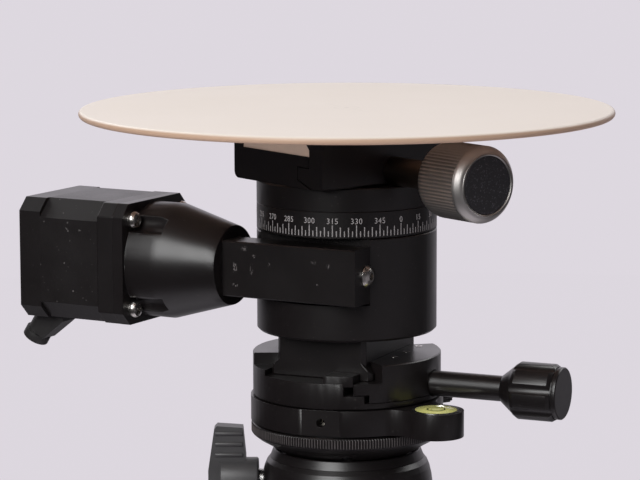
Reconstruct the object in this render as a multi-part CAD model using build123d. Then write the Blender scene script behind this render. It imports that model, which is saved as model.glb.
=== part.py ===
from build123d import *
import math
import os

os.makedirs("parts", exist_ok=True)

# Driving dimensions in millimetres. Z is up and is measured from the lower face of the
# spigot that drops into the tripod. X runs along the worm arm, away from the motor.

# Levels of the stack on the turning axis
SPIGOT_TOP = 8.0
COLLAR_SHOULDER = 34.9
COLLAR_TOP = 39.6
PLATE_BOTTOM = 37.2
PLATE_RIM_BOTTOM = 45.25
PLATE_TOP = 49.1
PAN_BOTTOM = 49.8
PAN_TOP = 58.7
LOWER_BOTTOM = 58.9
LOWER_FLOOR = 67.85
LOWER_TOP = 73.9
BODY_BOTTOM = 81.9
WORM_Z = 105.0
BODY_TOP = 117.1
RING_TOP = 126.4
PLATFORM_TOP = 134.4
UPPER_FLOOR = 145.4
UPPER_TOP = 151.4
DISC_BOTTOM = 156.1
DISC_TOP = 158.6

# Radii about the turning axis
DISC_R = 92.2
BODY_R = 31.2
LOWER_R = 32.75
PAN_R = 33.55
COLLAR_R = 30.5
SPIGOT_R = 26.0
COLUMN_R = 14.0
COLUMN_WALL = 2.5
COLUMN_BOTTOM = -70.0

# Fits
RUN = 0.1
GAP = 0.3
SNUG = 0.05

# Dovetail shared by the rail, the plate and both clamps
DOVE_HALF = 19.0
DOVE_LIP = 2.2
DOVE_BEVEL = 2.5
DOVE_FIT = 0.15
CLAMP_SCREW_R = 3.0

# Upper clamp, turned about the axis
UPPER_ANGLE = -24.14
UPPER_LEFT = -24.5
UPPER_RIGHT = 26.6
UPPER_HALF_LENGTH = 30.2
RAIL_HALF_LENGTH = 30.0
UPPER_SCREW_Z = 139.3
UPPER_STEM_R = 4.85
UPPER_KNOB_START = 54.0
UPPER_KNOB_END = 76.0
UPPER_KNOB_R = 12.8
KNOB_ROUND = 2.2
KNURL_TEETH = 64
KNURL_DEPTH = 0.6
INLAY_R = 9.7
INLAY_THICK = 1.5
CLAMP_BOLT_R = 2.5
CLAMP_BOLTS = ((-13.0, -12.0), (-13.0, 12.0), (7.0, -14.5), (7.0, 14.5))

# Lower clamp
LOWER_ANGLE = 5.06
LOWER_SCREW_Z = 64.6
LOWER_STEM_R = 4.4
LOWER_KNOB_START = 58.5
LOWER_KNOB_END = 80.0
LOWER_KNOB_R = 9.85
FLUTES = 7
FLUTE_R = 2.2
FLUTE_TURN = -1.0
SEAT_HALF_LENGTH = 22.6
TURN_R = 20.0

# Worm drive
MODULE = 0.8
WHEEL_TEETH = 50
WHEEL_FACE = 5.0
WORM_PITCH_R = 5.5
WORM_TIP_R = 6.2
WORM_ROOT_R = 4.4
THREAD_HALF = 0.45
TOOTH_HALF = 0.53
PRESSURE = math.tan(math.radians(20))
WORM_HALF_TURNS = 3.5
ARM_HALF_HEIGHT = 9.6
ARM_SPIGOT_R = 9.5
ARM_SPIGOT_END = -44.0
ARM_BORE = 6.5
ARM_SCREW_Z = 6.6
BOSS_SHELL = 7.8
CONE_SMALL_X = -30.2
CONE_SMALL_R = 13.8
CONE_BIG_X = -52.6
CONE_BIG_R = 20.1
CONE_BORE = 11.0
COUPLING_X = -54.0
WORM_BEARING_X = 10.6
WORM_BEARING_W = 5.0
WORM_BORE = 3.0

# Stepper motor, 42.3 mm square
FLANGE_X = -62.4
FACE_X = -66.3
CAP_X = -72.7
STACK_X = -96.5
REAR_X = -105.1
MOTOR_HALF = 21.15
MOTOR_SCREW = 15.5
CAP_CORNER = 4.4
STACK_CORNER = 6.3
SHAFT_R = 2.5
ROTOR_R = 11.0
POLES = 8
MOTOR_BEARING_R = 8.0
SOCKET_R = 3.2
SOCKET_END = 11.3
SOCKET_TILT = 148.0
SOCKET_DEPTH = 8.0

# Panning base with its level
LUG_ANGLE = -16.5
LUG_DISTANCE = 42.9
LUG_R = 9.5
LUG_HOLLOW_R = 8.0
VIAL_R = 7.2
FLAT_ANGLE = -77.2
LOCK_ANGLE = 62.0
PAN_GROOVE_Z = 54.3
STUD_R = 4.7

# Column lock
WING_ANGLE = 208.8
WING_Z = 27.5
WING_LENGTH = 13.6
WING_HUB_R = 8.0
WING_HALF = 19.8
WING_HALF_THICK = 3.2
LOCK_SHAFT_R = 4.0
BUSH_R = 17.0

# Inside of the rotator, from the top down
SPINDLE_TOP_R = 12.5
SPINDLE_LOW_R = 10.0
UPPER_BEARING_Z = 109.8
UPPER_BEARING_OUT = 18.5
LOWER_BEARING_Z = 87.5
LOWER_BEARING_OUT = 16.0
BEARING_WIDTH = 7.0
BEARING_BALLS = 10
SPINDLE_STEP = 109.5
COVER_TOP = 85.9
BOSS_BOTTOM = 117.6
NUT_BOTTOM = 84.0

# Sizes that follow from those above
BOSS_R = BODY_R - 3.3
COVER_R = BODY_R - 3.8
CAVITY_R = BODY_R - 7.2
PLATE_R = PAN_R - 0.45
WING_START = COLLAR_R + 0.5
WING_END = WING_START + WING_LENGTH
WHEEL_PITCH_R = MODULE * WHEEL_TEETH / 2
WORM_Y = -(WHEEL_PITCH_R + WORM_PITCH_R)
CHORD = -WORM_Y - 2.83
ARM_FRONT = CHORD + 10.83
ARM_END = math.sqrt(BODY_R ** 2 - CHORD ** 2)
ARM_SCREW_X = ARM_END - 2.56
ARM_SCREW_SEAT = CHORD - 5.27
BOSS_END = ARM_END - 3.56
SOCKET_X = REAR_X + 2.6
WORM_LEAD = math.pi * MODULE
WORM_HALF_LENGTH = WORM_HALF_TURNS * WORM_LEAD
COVER_SCREWS_R = COVER_R - 2.8
SEAT_BOLTS_Y = LOWER_BEARING_OUT + 1.6

ALONG_X = Rot(0, 90, 0)
TO_FRONT = Rot(90, 0, 0)
TO_BACK = Rot(-90, 0, 0)
UPSIDE_DOWN = Rot(180, 0, 0)
DRIVE = Pos(0, WORM_Y, WORM_Z) * ALONG_X
UPPER = Rot(0, 0, UPPER_ANGLE)
UPPER_SCREW = UPPER * Pos(0, 0, UPPER_SCREW_Z) * ALONG_X
LOWER = Rot(0, 0, LOWER_ANGLE)
LOWER_SCREW = LOWER * Pos(0, 0, LOWER_SCREW_Z) * ALONG_X


def rod(radius, z0, z1, x=0.0, y=0.0):
    """Upright cylinder between two heights."""
    return Pos(x, y, (z0 + z1) / 2) * Cylinder(radius, z1 - z0)


def pipe(outer, inner, z0, z1, x=0.0, y=0.0):
    """Upright tube between two heights."""
    return rod(outer, z0, z1, x, y) - rod(inner, z0 - 1, z1 + 1, x, y)


def block(x0, x1, y0, y1, z0, z1):
    """Box between two opposite corners."""
    return Pos((x0 + x1) / 2, (y0 + y1) / 2, (z0 + z1) / 2) * Box(x1 - x0, y1 - y0, z1 - z0)


def bar(radius, x0, x1, y=0.0, z=0.0):
    """Cylinder lying along X."""
    return Pos((x0 + x1) / 2, y, z) * ALONG_X * Cylinder(radius, x1 - x0)


def turned(points):
    """Solid turned about Z from (radius, height) points."""
    return revolve(make_face(Plane.XZ * Polyline(*points, close=True)), Axis.Z)


def across(points, y0, y1):
    """Outline of (x, z) points pushed along Y."""
    side = Plane(origin=(0, y0, 0), x_dir=(1, 0, 0), z_dir=(0, -1, 0))
    return extrude(make_face(side * Polyline(*points, close=True)), y1 - y0, dir=(0, 1, 0))


def upright(points, z0, z1):
    """Outline of (x, y) points pushed up between two heights."""
    face = make_face(Polyline(*points, close=True))
    return Pos(0, 0, z0) * extrude(face, z1 - z0)


def polar(radius, degrees):
    """Point at a radius and an angle."""
    angle = math.radians(degrees)
    return radius * math.cos(angle), radius * math.sin(angle)


def around(count, radius, start=0.0):
    """Points spaced evenly round the axis."""
    return [polar(radius, start + 360 / count * i) for i in range(count)]


def star(count, outer, inner, flat=0.5):
    """Points of a ring of flat-topped teeth, flat being the share that each top and root takes."""
    points = []
    corners = ((outer, -flat / 4), (outer, flat / 4), (inner, 0.5 - flat / 4), (inner, 0.5 + flat / 4))
    for i in range(count):
        for radius, turn in corners:
            points.append(polar(radius, (i + turn) * 360 / count))
    return points


def socket(across_flats, depth):
    """Hexagon key hole that opens upward at Z 0."""
    return Pos(0, 0, -depth) * extrude(RegularPolygon(across_flats / 2, 6, major_radius=False), depth + 1)


def cap_screw(shank, head, head_height, length, key, at=0.0):
    """Socket cap screw with its seat at a height, head up."""
    body = rod(head, at, at + head_height) + rod(shank, at - length, at)
    return body - Pos(0, 0, at + head_height) * socket(key, head_height * 0.55)


def countersink(shank, head, top, bottom):
    """Space for a countersunk screw, open upward at a height."""
    over = 1.0
    profile = [(0, top + over), (head, top + over), (head, top), (shank, top - (head - shank))]
    return turned(profile + [(shank, bottom), (0, bottom)])


def flat_screw(shank, head, length, key, top):
    """Countersunk screw, its flat top at a height."""
    profile = [(0, top), (head, top), (shank, top - (head - shank)), (shank, top - length), (0, top - length)]
    return turned(profile) - Pos(0, 0, top) * socket(key, 1.2)


def grub(radius, length, key):
    """Grub screw standing on Z 0, its key hole at the top."""
    return rod(radius, 0, length) - Pos(0, 0, length) * socket(key, length * 0.4)


def cross_slot(x, y, z, way):
    """Cross recess in a screw head whose face is at a height, way being the side that it is sunk to."""
    half = 0.45
    reach = 1.6
    depth = 1.1
    z0, z1 = sorted((z - way * 0.2, z + way * depth))
    slot = block(x - reach, x + reach, y - half, y + half, z0, z1)
    return slot + block(x - half, x + half, y - reach, y + reach, z0, z1)


def bearing(bore, outer, width):
    """Outer ring, inner ring, race radius and ball radius of a ball bearing that stands on Z 0."""
    race = (bore + outer) / 2
    ball = (outer - bore) * 0.27
    groove = Pos(0, 0, width / 2) * Torus(race, ball + SNUG)
    half_gap = ball * 0.62
    ring_out = pipe(outer, race + half_gap, 0, width) - groove
    ring_in = pipe(race - half_gap, bore, 0, width) - groove
    return ring_out, ring_in, race, ball


def radial(angle, z, shape):
    """Turn a shape that stands on Z so that it points outward at an angle and a height."""
    return Rot(0, 0, angle) * Pos(0, 0, z) * ALONG_X * shape


def save(name, shape):
    """Write one node."""
    if isinstance(shape, (list, tuple)):
        shape = Compound(children=list(shape))
    export_step(shape, f"parts/{name}.step")


def dovetail_outline(floor, top):
    """Outline of a dovetail bar that stands on a clamp floor."""
    neck = DOVE_HALF - DOVE_BEVEL
    lip = floor + DOVE_LIP
    return [
        (-DOVE_HALF, floor), (DOVE_HALF, floor), (DOVE_HALF, lip), (neck, lip + DOVE_BEVEL),
        (neck, top), (-neck, top), (-neck, lip + DOVE_BEVEL), (-DOVE_HALF, lip),
    ]


def jaw_face(floor, top):
    """Inner face of a jaw on the right, from the floor up, as (x, z) points."""
    foot = DOVE_HALF + DOVE_FIT
    neck = foot - DOVE_BEVEL
    lip = floor + DOVE_LIP + DOVE_FIT
    return [(foot, floor), (foot, lip), (neck, lip + DOVE_BEVEL), (neck, top)]


def mirrored(points):
    """The same points on the left."""
    return [(-x, z) for x, z in points]


def table():
    """Disc and the dovetail rail glued under it."""
    peg_r = 5.0
    peg_height = 1.1
    disc = rod(DISC_R, DISC_BOTTOM, DISC_TOP)
    disc = fillet(disc.edges().filter_by(GeomType.CIRCLE), (DISC_TOP - DISC_BOTTOM) * 0.44)
    disc -= rod(peg_r, DISC_BOTTOM - 1, DISC_BOTTOM + peg_height + SNUG)
    save("table_disc", disc)
    rail = across(dovetail_outline(UPPER_FLOOR, DISC_BOTTOM), -RAIL_HALF_LENGTH, RAIL_HALF_LENGTH)
    rail += rod(peg_r - SNUG, DISC_BOTTOM, DISC_BOTTOM + peg_height)
    save("dovetail_rail", UPPER * rail)


def spring(radius, wire, turns, length):
    """Compression spring along Z from 0, made of square wire."""
    path = Helix((length - wire) / turns, length - wire, radius)
    section = Plane(origin=path @ 0, x_dir=(1, 0, 0), z_dir=(0, 1, 0)) * Rectangle(wire, wire)
    return Pos(0, 0, wire / 2) * sweep(section, path=path, is_frenet=True)


def upper_clamp():
    """Quick-release clamp that grips the rail: a body, and a jaw whose tongue runs in a groove of it."""
    half = UPPER_HALF_LENGTH
    tongue_low = PLATFORM_TOP + 3.0
    tongue_high = PLATFORM_TOP + 7.0
    tongue_tip = 12.6
    foot_x = 19.7
    step_x = DOVE_HALF - GAP / 2
    base_points = [
        (UPPER_LEFT, PLATFORM_TOP), (foot_x, PLATFORM_TOP), (tongue_tip - GAP, tongue_low - GAP),
        (tongue_tip - GAP, tongue_high + GAP), (step_x, tongue_high + GAP), (step_x, UPPER_FLOOR),
    ]
    base_points += mirrored(jaw_face(UPPER_FLOOR, UPPER_TOP))
    base_points += [(UPPER_LEFT, UPPER_TOP)]
    base = across(base_points, -half, half)
    base = fillet(base.edges().filter_by(Axis.Y).sort_by(Axis.Z)[0:2].sort_by(Axis.X)[0], 2.5)
    jaw_points = [(foot_x + 0.7, PLATFORM_TOP + GAP), (tongue_tip, tongue_low), (tongue_tip, tongue_high)]
    jaw_points += [(DOVE_HALF + DOVE_FIT, tongue_high)] + jaw_face(UPPER_FLOOR, UPPER_TOP)
    jaw_points += [(UPPER_RIGHT, UPPER_TOP), (UPPER_RIGHT, PLATFORM_TOP + GAP)]
    jaw = across(jaw_points, -half, half)
    jaw = chamfer(jaw.edges().filter_by(Axis.Y).group_by(Axis.X)[-1], 0.6)
    screw_tip = -8.0
    base -= bar(CLAMP_SCREW_R + SNUG, screw_tip - 1, UPPER_RIGHT, 0, UPPER_SCREW_Z)
    jaw -= bar(CLAMP_SCREW_R + GAP, 0, UPPER_RIGHT + 1, 0, UPPER_SCREW_Z)
    pin_r = 2.0
    pin_y = 20.0
    pin_start = -2.0
    pin_end = 23.6
    pocket_r = 2.2
    pocket_start = 6.0
    pocket_end = 18.0
    spring_y = 9.5
    spring_length = 11.6
    pins = []
    springs = []
    for side in (-1, 1):
        base -= bar(pin_r, pin_start, step_x + 1, side * pin_y, UPPER_SCREW_Z)
        jaw -= bar(pin_r + RUN, 0, pin_end + 0.5, side * pin_y, UPPER_SCREW_Z)
        pins.append(UPPER * bar(pin_r, pin_start, pin_end, side * pin_y, UPPER_SCREW_Z))
        base -= bar(pocket_r, pocket_start, step_x + 1, side * spring_y, UPPER_SCREW_Z)
        jaw -= bar(pocket_r, 0, pocket_end, side * spring_y, UPPER_SCREW_Z)
        coil = spring(1.55, 0.5, 5, spring_length)
        springs.append(UPPER * Pos(pocket_start + RUN, side * spring_y, UPPER_SCREW_Z) * ALONG_X * coil)
    bolt_head_r = 4.5
    bolt_top = UPPER_FLOOR - 0.4
    bolts = []
    for x, y in CLAMP_BOLTS:
        base -= Pos(x, y, 0) * countersink(CLAMP_BOLT_R, bolt_head_r + RUN, bolt_top, PLATFORM_TOP - 1)
        bolt = flat_screw(CLAMP_BOLT_R - SNUG, bolt_head_r, 17.0, 3.0, bolt_top)
        bolts.append(UPPER * Pos(x, y, 0) * bolt)
    save("upper_clamp_base", UPPER * base)
    save("upper_clamp_jaw", UPPER * jaw)
    save("upper_guide_pins", pins)
    save("upper_springs", springs)
    save("upper_clamp_bolts", bolts)
    upper_knob(screw_tip)


def upper_knob(screw_tip):
    """Clamp screw with its stem, knurled knob and the inlay in the knob's face."""
    stem_start = UPPER_RIGHT + RUN
    stem_end = UPPER_KNOB_START + 9.0
    screw = rod(CLAMP_SCREW_R, screw_tip, stem_start) + rod(UPPER_STEM_R, stem_start, stem_end)
    save("upper_clamp_screw", UPPER_SCREW * screw)
    back = UPPER_KNOB_START + 1.0
    knurl_end = UPPER_KNOB_END - KNOB_ROUND - 0.4
    root = UPPER_KNOB_R - KNURL_DEPTH
    inlay_floor = UPPER_KNOB_END - INLAY_THICK
    knob = upright(star(KNURL_TEETH, UPPER_KNOB_R, root, 0.6), back, knurl_end)
    knob += turned([(0, UPPER_KNOB_START), (root - 0.8, UPPER_KNOB_START), (root, back), (0, back)])
    rim = rod(UPPER_KNOB_R, knurl_end, UPPER_KNOB_END)
    knob += fillet(rim.edges().group_by(Axis.Z)[-1], KNOB_ROUND)
    knob -= rod(INLAY_R + SNUG, inlay_floor, UPPER_KNOB_END + 1)
    knob -= rod(UPPER_STEM_R + SNUG / 2, UPPER_KNOB_START - 1, stem_end + SNUG)
    save("upper_knob", UPPER_SCREW * knob)
    inlay = rod(INLAY_R, inlay_floor, UPPER_KNOB_END - SNUG)
    inlay = chamfer(inlay.edges().group_by(Axis.Z)[-1], 0.25)
    save("upper_knob_inlay", UPPER_SCREW * inlay)


def rotator():
    """Turning platform with its scale ring, the body that carries it, and the bearings and cover."""
    thread_r = SPINDLE_LOW_R - 0.5
    spindle_end = NUT_BOTTOM - GAP
    ease = 0.2
    platform = turned([
        (0, PLATFORM_TOP), (BODY_R - 2 * ease, PLATFORM_TOP), (BODY_R, PLATFORM_TOP - 2 * ease),
        (BODY_R, RING_TOP + ease), (BODY_R - ease, RING_TOP), (BOSS_R, RING_TOP), (BOSS_R, BOSS_BOTTOM),
        (SPINDLE_TOP_R + 2, BOSS_BOTTOM), (SPINDLE_TOP_R + 2, BOSS_BOTTOM - 0.6),
        (SPINDLE_TOP_R, BOSS_BOTTOM - 0.6), (SPINDLE_TOP_R, SPINDLE_STEP), (SPINDLE_LOW_R, SPINDLE_STEP),
        (SPINDLE_LOW_R, LOWER_BEARING_Z), (thread_r, LOWER_BEARING_Z), (thread_r, spindle_end),
        (0, spindle_end),
    ])
    for x, y in CLAMP_BOLTS:
        platform -= UPPER * rod(CLAMP_BOLT_R, PLATFORM_TOP - 7.2, PLATFORM_TOP + 1, x, y)
    save("platform", platform)
    ring_bottom = BODY_TOP + 0.25
    save("degree_ring", turned([
        (BOSS_R + SNUG, RING_TOP), (BODY_R - ease, RING_TOP), (BODY_R, RING_TOP - ease),
        (BODY_R, ring_bottom + ease), (BODY_R - ease, ring_bottom), (BOSS_R + SNUG, ring_bottom),
    ]))
    shelf = 1.3
    body = turned([
        (COVER_R + RUN, BODY_BOTTOM), (BODY_R - 0.8, BODY_BOTTOM), (BODY_R, BODY_BOTTOM + 0.8),
        (BODY_R, BODY_TOP - GAP), (BODY_R - GAP, BODY_TOP), (UPPER_BEARING_OUT, BODY_TOP),
        (UPPER_BEARING_OUT, UPPER_BEARING_Z - RUN), (UPPER_BEARING_OUT - shelf, UPPER_BEARING_Z - RUN),
        (UPPER_BEARING_OUT - shelf, SPINDLE_STEP - RUN), (CAVITY_R, SPINDLE_STEP - RUN),
        (CAVITY_R, COVER_TOP), (COVER_R + RUN, COVER_TOP),
    ])
    recess_bottom = WORM_Z - ARM_HALF_HEIGHT - 1.0
    body -= block(-BODY_R - 1, BODY_R + 1, -BODY_R - 9, -CHORD, recess_bottom, BODY_TOP + 1)
    body -= bar(BOSS_SHELL + GAP, CONE_SMALL_X, BOSS_END + GAP, WORM_Y, WORM_Z)
    body -= bar(4.05, ARM_END - GAP, BODY_R, WORM_Y, WORM_Z)
    screws = []
    for x in (-ARM_SCREW_X, ARM_SCREW_X):
        for z in (WORM_Z - ARM_SCREW_Z, WORM_Z + ARM_SCREW_Z):
            body -= Pos(x, 0, z) * TO_FRONT * (rod(1.3, 0, BODY_R) + rod(2.6, 0, ARM_SCREW_SEAT))
            screws.append(Pos(x, 0, z) * TO_BACK * cap_screw(1.25, 2.25, 2.5, 9.5, 2.0, -ARM_SCREW_SEAT))
    cover_screws = []
    for x, y in around(4, COVER_SCREWS_R, 45):
        body -= rod(1.25, COVER_TOP - 1, COVER_TOP + 6, x, y)
        cover_screws.append(Pos(x, y, 0) * UPSIDE_DOWN * flat_screw(1.2, 2.3, 8.0, 1.6, -BODY_BOTTOM))
    save("rotator_body", body)
    rotator_cover()
    table_bearings()
    nut = Pos(0, 0, NUT_BOTTOM) * extrude(RegularPolygon(SPINDLE_TOP_R, 6), 3.4)
    save("spindle_nut", nut - rod(thread_r, NUT_BOTTOM - 1, NUT_BOTTOM + 5))
    return screws, cover_screws


def rotator_cover():
    """Cover that closes the body from below and seats the lower bearing."""
    seat_top = LOWER_BEARING_Z + BEARING_WIDTH
    hole_r = LOWER_BEARING_OUT - 1
    cover = turned([
        (hole_r, BODY_BOTTOM), (COVER_R, BODY_BOTTOM), (COVER_R, COVER_TOP), (LOWER_BEARING_OUT + 4, COVER_TOP),
        (LOWER_BEARING_OUT + 4, seat_top), (LOWER_BEARING_OUT, seat_top), (LOWER_BEARING_OUT, LOWER_BEARING_Z),
        (hole_r, LOWER_BEARING_Z),
    ])
    for x, y in around(4, COVER_SCREWS_R, 45):
        cover -= Pos(x, y, 0) * UPSIDE_DOWN * countersink(1.25, 2.35, -BODY_BOTTOM, -COVER_TOP - 1)
    for x, y in around(4, SEAT_BOLTS_Y, 90):
        cover -= rod(1.6, BODY_BOTTOM - 1, COVER_TOP + 1, x, y)
    save("rotator_cover", cover)


def table_bearings():
    """The two ball bearings on the spindle."""
    outer_rings = []
    inner_rings = []
    balls = []
    for bore, outside, z in (
        (SPINDLE_TOP_R, UPPER_BEARING_OUT, UPPER_BEARING_Z),
        (SPINDLE_LOW_R, LOWER_BEARING_OUT, LOWER_BEARING_Z),
    ):
        ring_out, ring_in, race, ball = bearing(bore, outside, BEARING_WIDTH)
        outer_rings.append(Pos(0, 0, z) * ring_out)
        inner_rings.append(Pos(0, 0, z) * ring_in)
        balls += [Pos(x, y, z + BEARING_WIDTH / 2) * Sphere(ball) for x, y in around(BEARING_BALLS, race)]
    save("table_bearing_outer", outer_rings)
    save("table_bearing_inner", inner_rings)
    save("table_bearing_balls", balls)


def worm_wheel():
    """Wheel whose straight-sided teeth mesh with the worm, with a gap of the wheel facing the worm."""
    hub_low = LOWER_BEARING_Z + BEARING_WIDTH
    hub_r = SPINDLE_LOW_R + 3.5
    root = WHEEL_PITCH_R - 1.25 * MODULE
    tip = WHEEL_PITCH_R + MODULE
    half_root = (TOOTH_HALF + (WHEEL_PITCH_R - root) * PRESSURE) / root
    half_pitch = TOOTH_HALF / WHEEL_PITCH_R
    half_tip = (TOOTH_HALF - MODULE * PRESSURE) / tip
    flank = ((root, half_root), (WHEEL_PITCH_R, half_pitch), (tip, half_tip))
    points = []
    for i in range(WHEEL_TEETH):
        middle = -90 + (i + 0.5) * 360 / WHEEL_TEETH
        points += [polar(radius, middle - math.degrees(half)) for radius, half in flank]
        points += [polar(radius, middle + math.degrees(half)) for radius, half in reversed(flank)]
    wheel = upright(points, WORM_Z - WHEEL_FACE / 2, WORM_Z + WHEEL_FACE / 2)
    wheel += rod(hub_r, hub_low, SPINDLE_STEP)
    wheel -= rod(SPINDLE_LOW_R, hub_low - 1, SPINDLE_STEP + 1)
    save("worm_wheel", wheel)


def worm_shaft():
    """Worm along X: one groove, swept along a helix and cut out of the tip cylinder, then the journals."""
    over = 0.5
    depth = WORM_TIP_R - WORM_ROOT_R + over
    half_root = WORM_LEAD / 2 - THREAD_HALF - (WORM_PITCH_R - WORM_ROOT_R) * PRESSURE
    half_over = WORM_LEAD / 2 - THREAD_HALF + (WORM_TIP_R - WORM_PITCH_R + over) * PRESSURE
    start = WORM_HALF_LENGTH + WORM_LEAD
    path = Helix(WORM_LEAD, 2 * start, WORM_ROOT_R)
    outline = Polyline((0, -half_root), (depth, -half_over), (depth, half_over), (0, half_root), close=True)
    section = Plane(origin=(WORM_ROOT_R, 0, 0), x_dir=(1, 0, 0), z_dir=(0, -1, 0)) * make_face(outline)
    # The groove starts away from the cylinder's own seam
    seam = 37
    groove = Rot(0, 0, seam) * Pos(0, 0, -start) * sweep(section, path=path, is_frenet=True)
    neck = -WORM_BEARING_X - WORM_BEARING_W - 3.4
    worm = rod(WORM_TIP_R, -WORM_HALF_LENGTH, WORM_HALF_LENGTH) - groove
    worm += rod(WORM_ROOT_R - 0.4, -WORM_BEARING_X, WORM_BEARING_X)
    worm += rod(WORM_BORE, neck, WORM_BEARING_X + WORM_BEARING_W - RUN)
    worm += rod(SHAFT_R, COUPLING_X + 0.5, neck)
    return DRIVE * Rot(0, 0, 90 - seam) * worm


def small_bearings(starts, bore, outer, width):
    """Outer and inner rings of equal bearings on the worm line."""
    outs = []
    ins = []
    for start in starts:
        ring_out, ring_in, race, ball = bearing(bore, outer, width)
        outs.append(DRIVE * Pos(0, 0, start) * ring_out)
        ins.append(DRIVE * Pos(0, 0, start) * ring_in)
    return outs, ins


def worm_drive(screws):
    """Arm on the side of the body, worm, coupling and the cone that carries the motor."""
    save("worm_shaft", worm_shaft())
    low = WORM_Z - ARM_HALF_HEIGHT
    high = WORM_Z + ARM_HALF_HEIGHT
    plug_r = 2.0
    arm = block(CONE_SMALL_X, ARM_END, -ARM_FRONT, -CHORD, low, high)
    arm = chamfer(arm.edges().filter_by(Axis.X), 0.4)
    arm += bar(BOSS_SHELL, CONE_SMALL_X, BOSS_END, WORM_Y, WORM_Z)
    arm += bar(ARM_SPIGOT_R, ARM_SPIGOT_END, CONE_SMALL_X, WORM_Y, WORM_Z)
    arm -= bar(ARM_BORE, ARM_SPIGOT_END - 1, WORM_BEARING_X + WORM_BEARING_W, WORM_Y, WORM_Z)
    arm -= rod(WHEEL_PITCH_R + MODULE + 2 * GAP, low - 1, high + 1)
    arm -= bar(plug_r, 0, ARM_END + 1, WORM_Y, WORM_Z)
    for x in (-ARM_SCREW_X, ARM_SCREW_X):
        for z in (WORM_Z - ARM_SCREW_Z, WORM_Z + ARM_SCREW_Z):
            arm -= Pos(x, 0, z) * TO_FRONT * rod(1.25, 0, CHORD + 4.7)
    save("worm_arm", arm)
    starts = (-WORM_BEARING_X - WORM_BEARING_W, WORM_BEARING_X)
    outs, ins = small_bearings(starts, WORM_BORE, ARM_BORE, WORM_BEARING_W)
    head = 3.75
    head_height = 2.1
    dome = [(head, 0), (head, 0.5), (head - 0.9, 1.6), (head - 2.0, head_height)]
    plug = turned([(0, 0)] + dome + [(0, head_height)])
    plug -= Pos(0, 0, head_height) * socket(2.5, 1.3)
    plug += rod(plug_r - SNUG, -5.5, 0)
    save("arm_end_screw", DRIVE * Pos(0, 0, ARM_END) * plug)
    recess = ARM_SPIGOT_END - 1
    cone = turned([
        (CONE_BORE, FLANGE_X), (CONE_BIG_R, FLANGE_X), (CONE_BIG_R, CONE_BIG_X), (CONE_SMALL_R, CONE_SMALL_X),
        (ARM_SPIGOT_R + SNUG, CONE_SMALL_X), (ARM_SPIGOT_R + SNUG, recess), (CONE_BORE, recess),
    ])
    cone += octagon(CAP_CORNER, FACE_X, FLANGE_X) - rod(CONE_BORE, FACE_X - 1, FLANGE_X + 1)
    for x in (-MOTOR_SCREW, MOTOR_SCREW):
        for y in (-MOTOR_SCREW, MOTOR_SCREW):
            cone -= rod(4.2, FLANGE_X, CONE_BIG_X + 2.6, x, y)
            cone -= rod(1.7, FACE_X - 1, FLANGE_X + 1, x, y)
    grub_line = Pos(0, 0, ARM_SPIGOT_END + 3.5) * Rot(0, 0, 25) * ALONG_X
    cone -= grub_line * rod(2.0, ARM_SPIGOT_R - 1, CONE_BIG_R + 2)
    save("motor_cone", DRIVE * cone)
    screws.append(DRIVE * grub_line * Pos(0, 0, ARM_SPIGOT_R + RUN) * grub(2.0 - SNUG, 6.0, 2.0))
    save("arm_screws", screws)
    sleeve = rod(8.0, COUPLING_X - 7.5, COUPLING_X + 7.5)
    sleeve = chamfer(sleeve.edges().filter_by(GeomType.CIRCLE), 0.5)
    save("shaft_coupling", DRIVE * (sleeve - rod(SHAFT_R, COUPLING_X - 8, COUPLING_X + 8)))
    return outs, ins


def octagon(corner, x0, x1):
    """Square motor section with cut corners, standing between two stations of the worm line."""
    piece = extrude(Rectangle(2 * MOTOR_HALF, 2 * MOTOR_HALF), x1 - x0)
    return Pos(0, 0, x0) * chamfer(piece.edges().filter_by(Axis.Z), corner)


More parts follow.
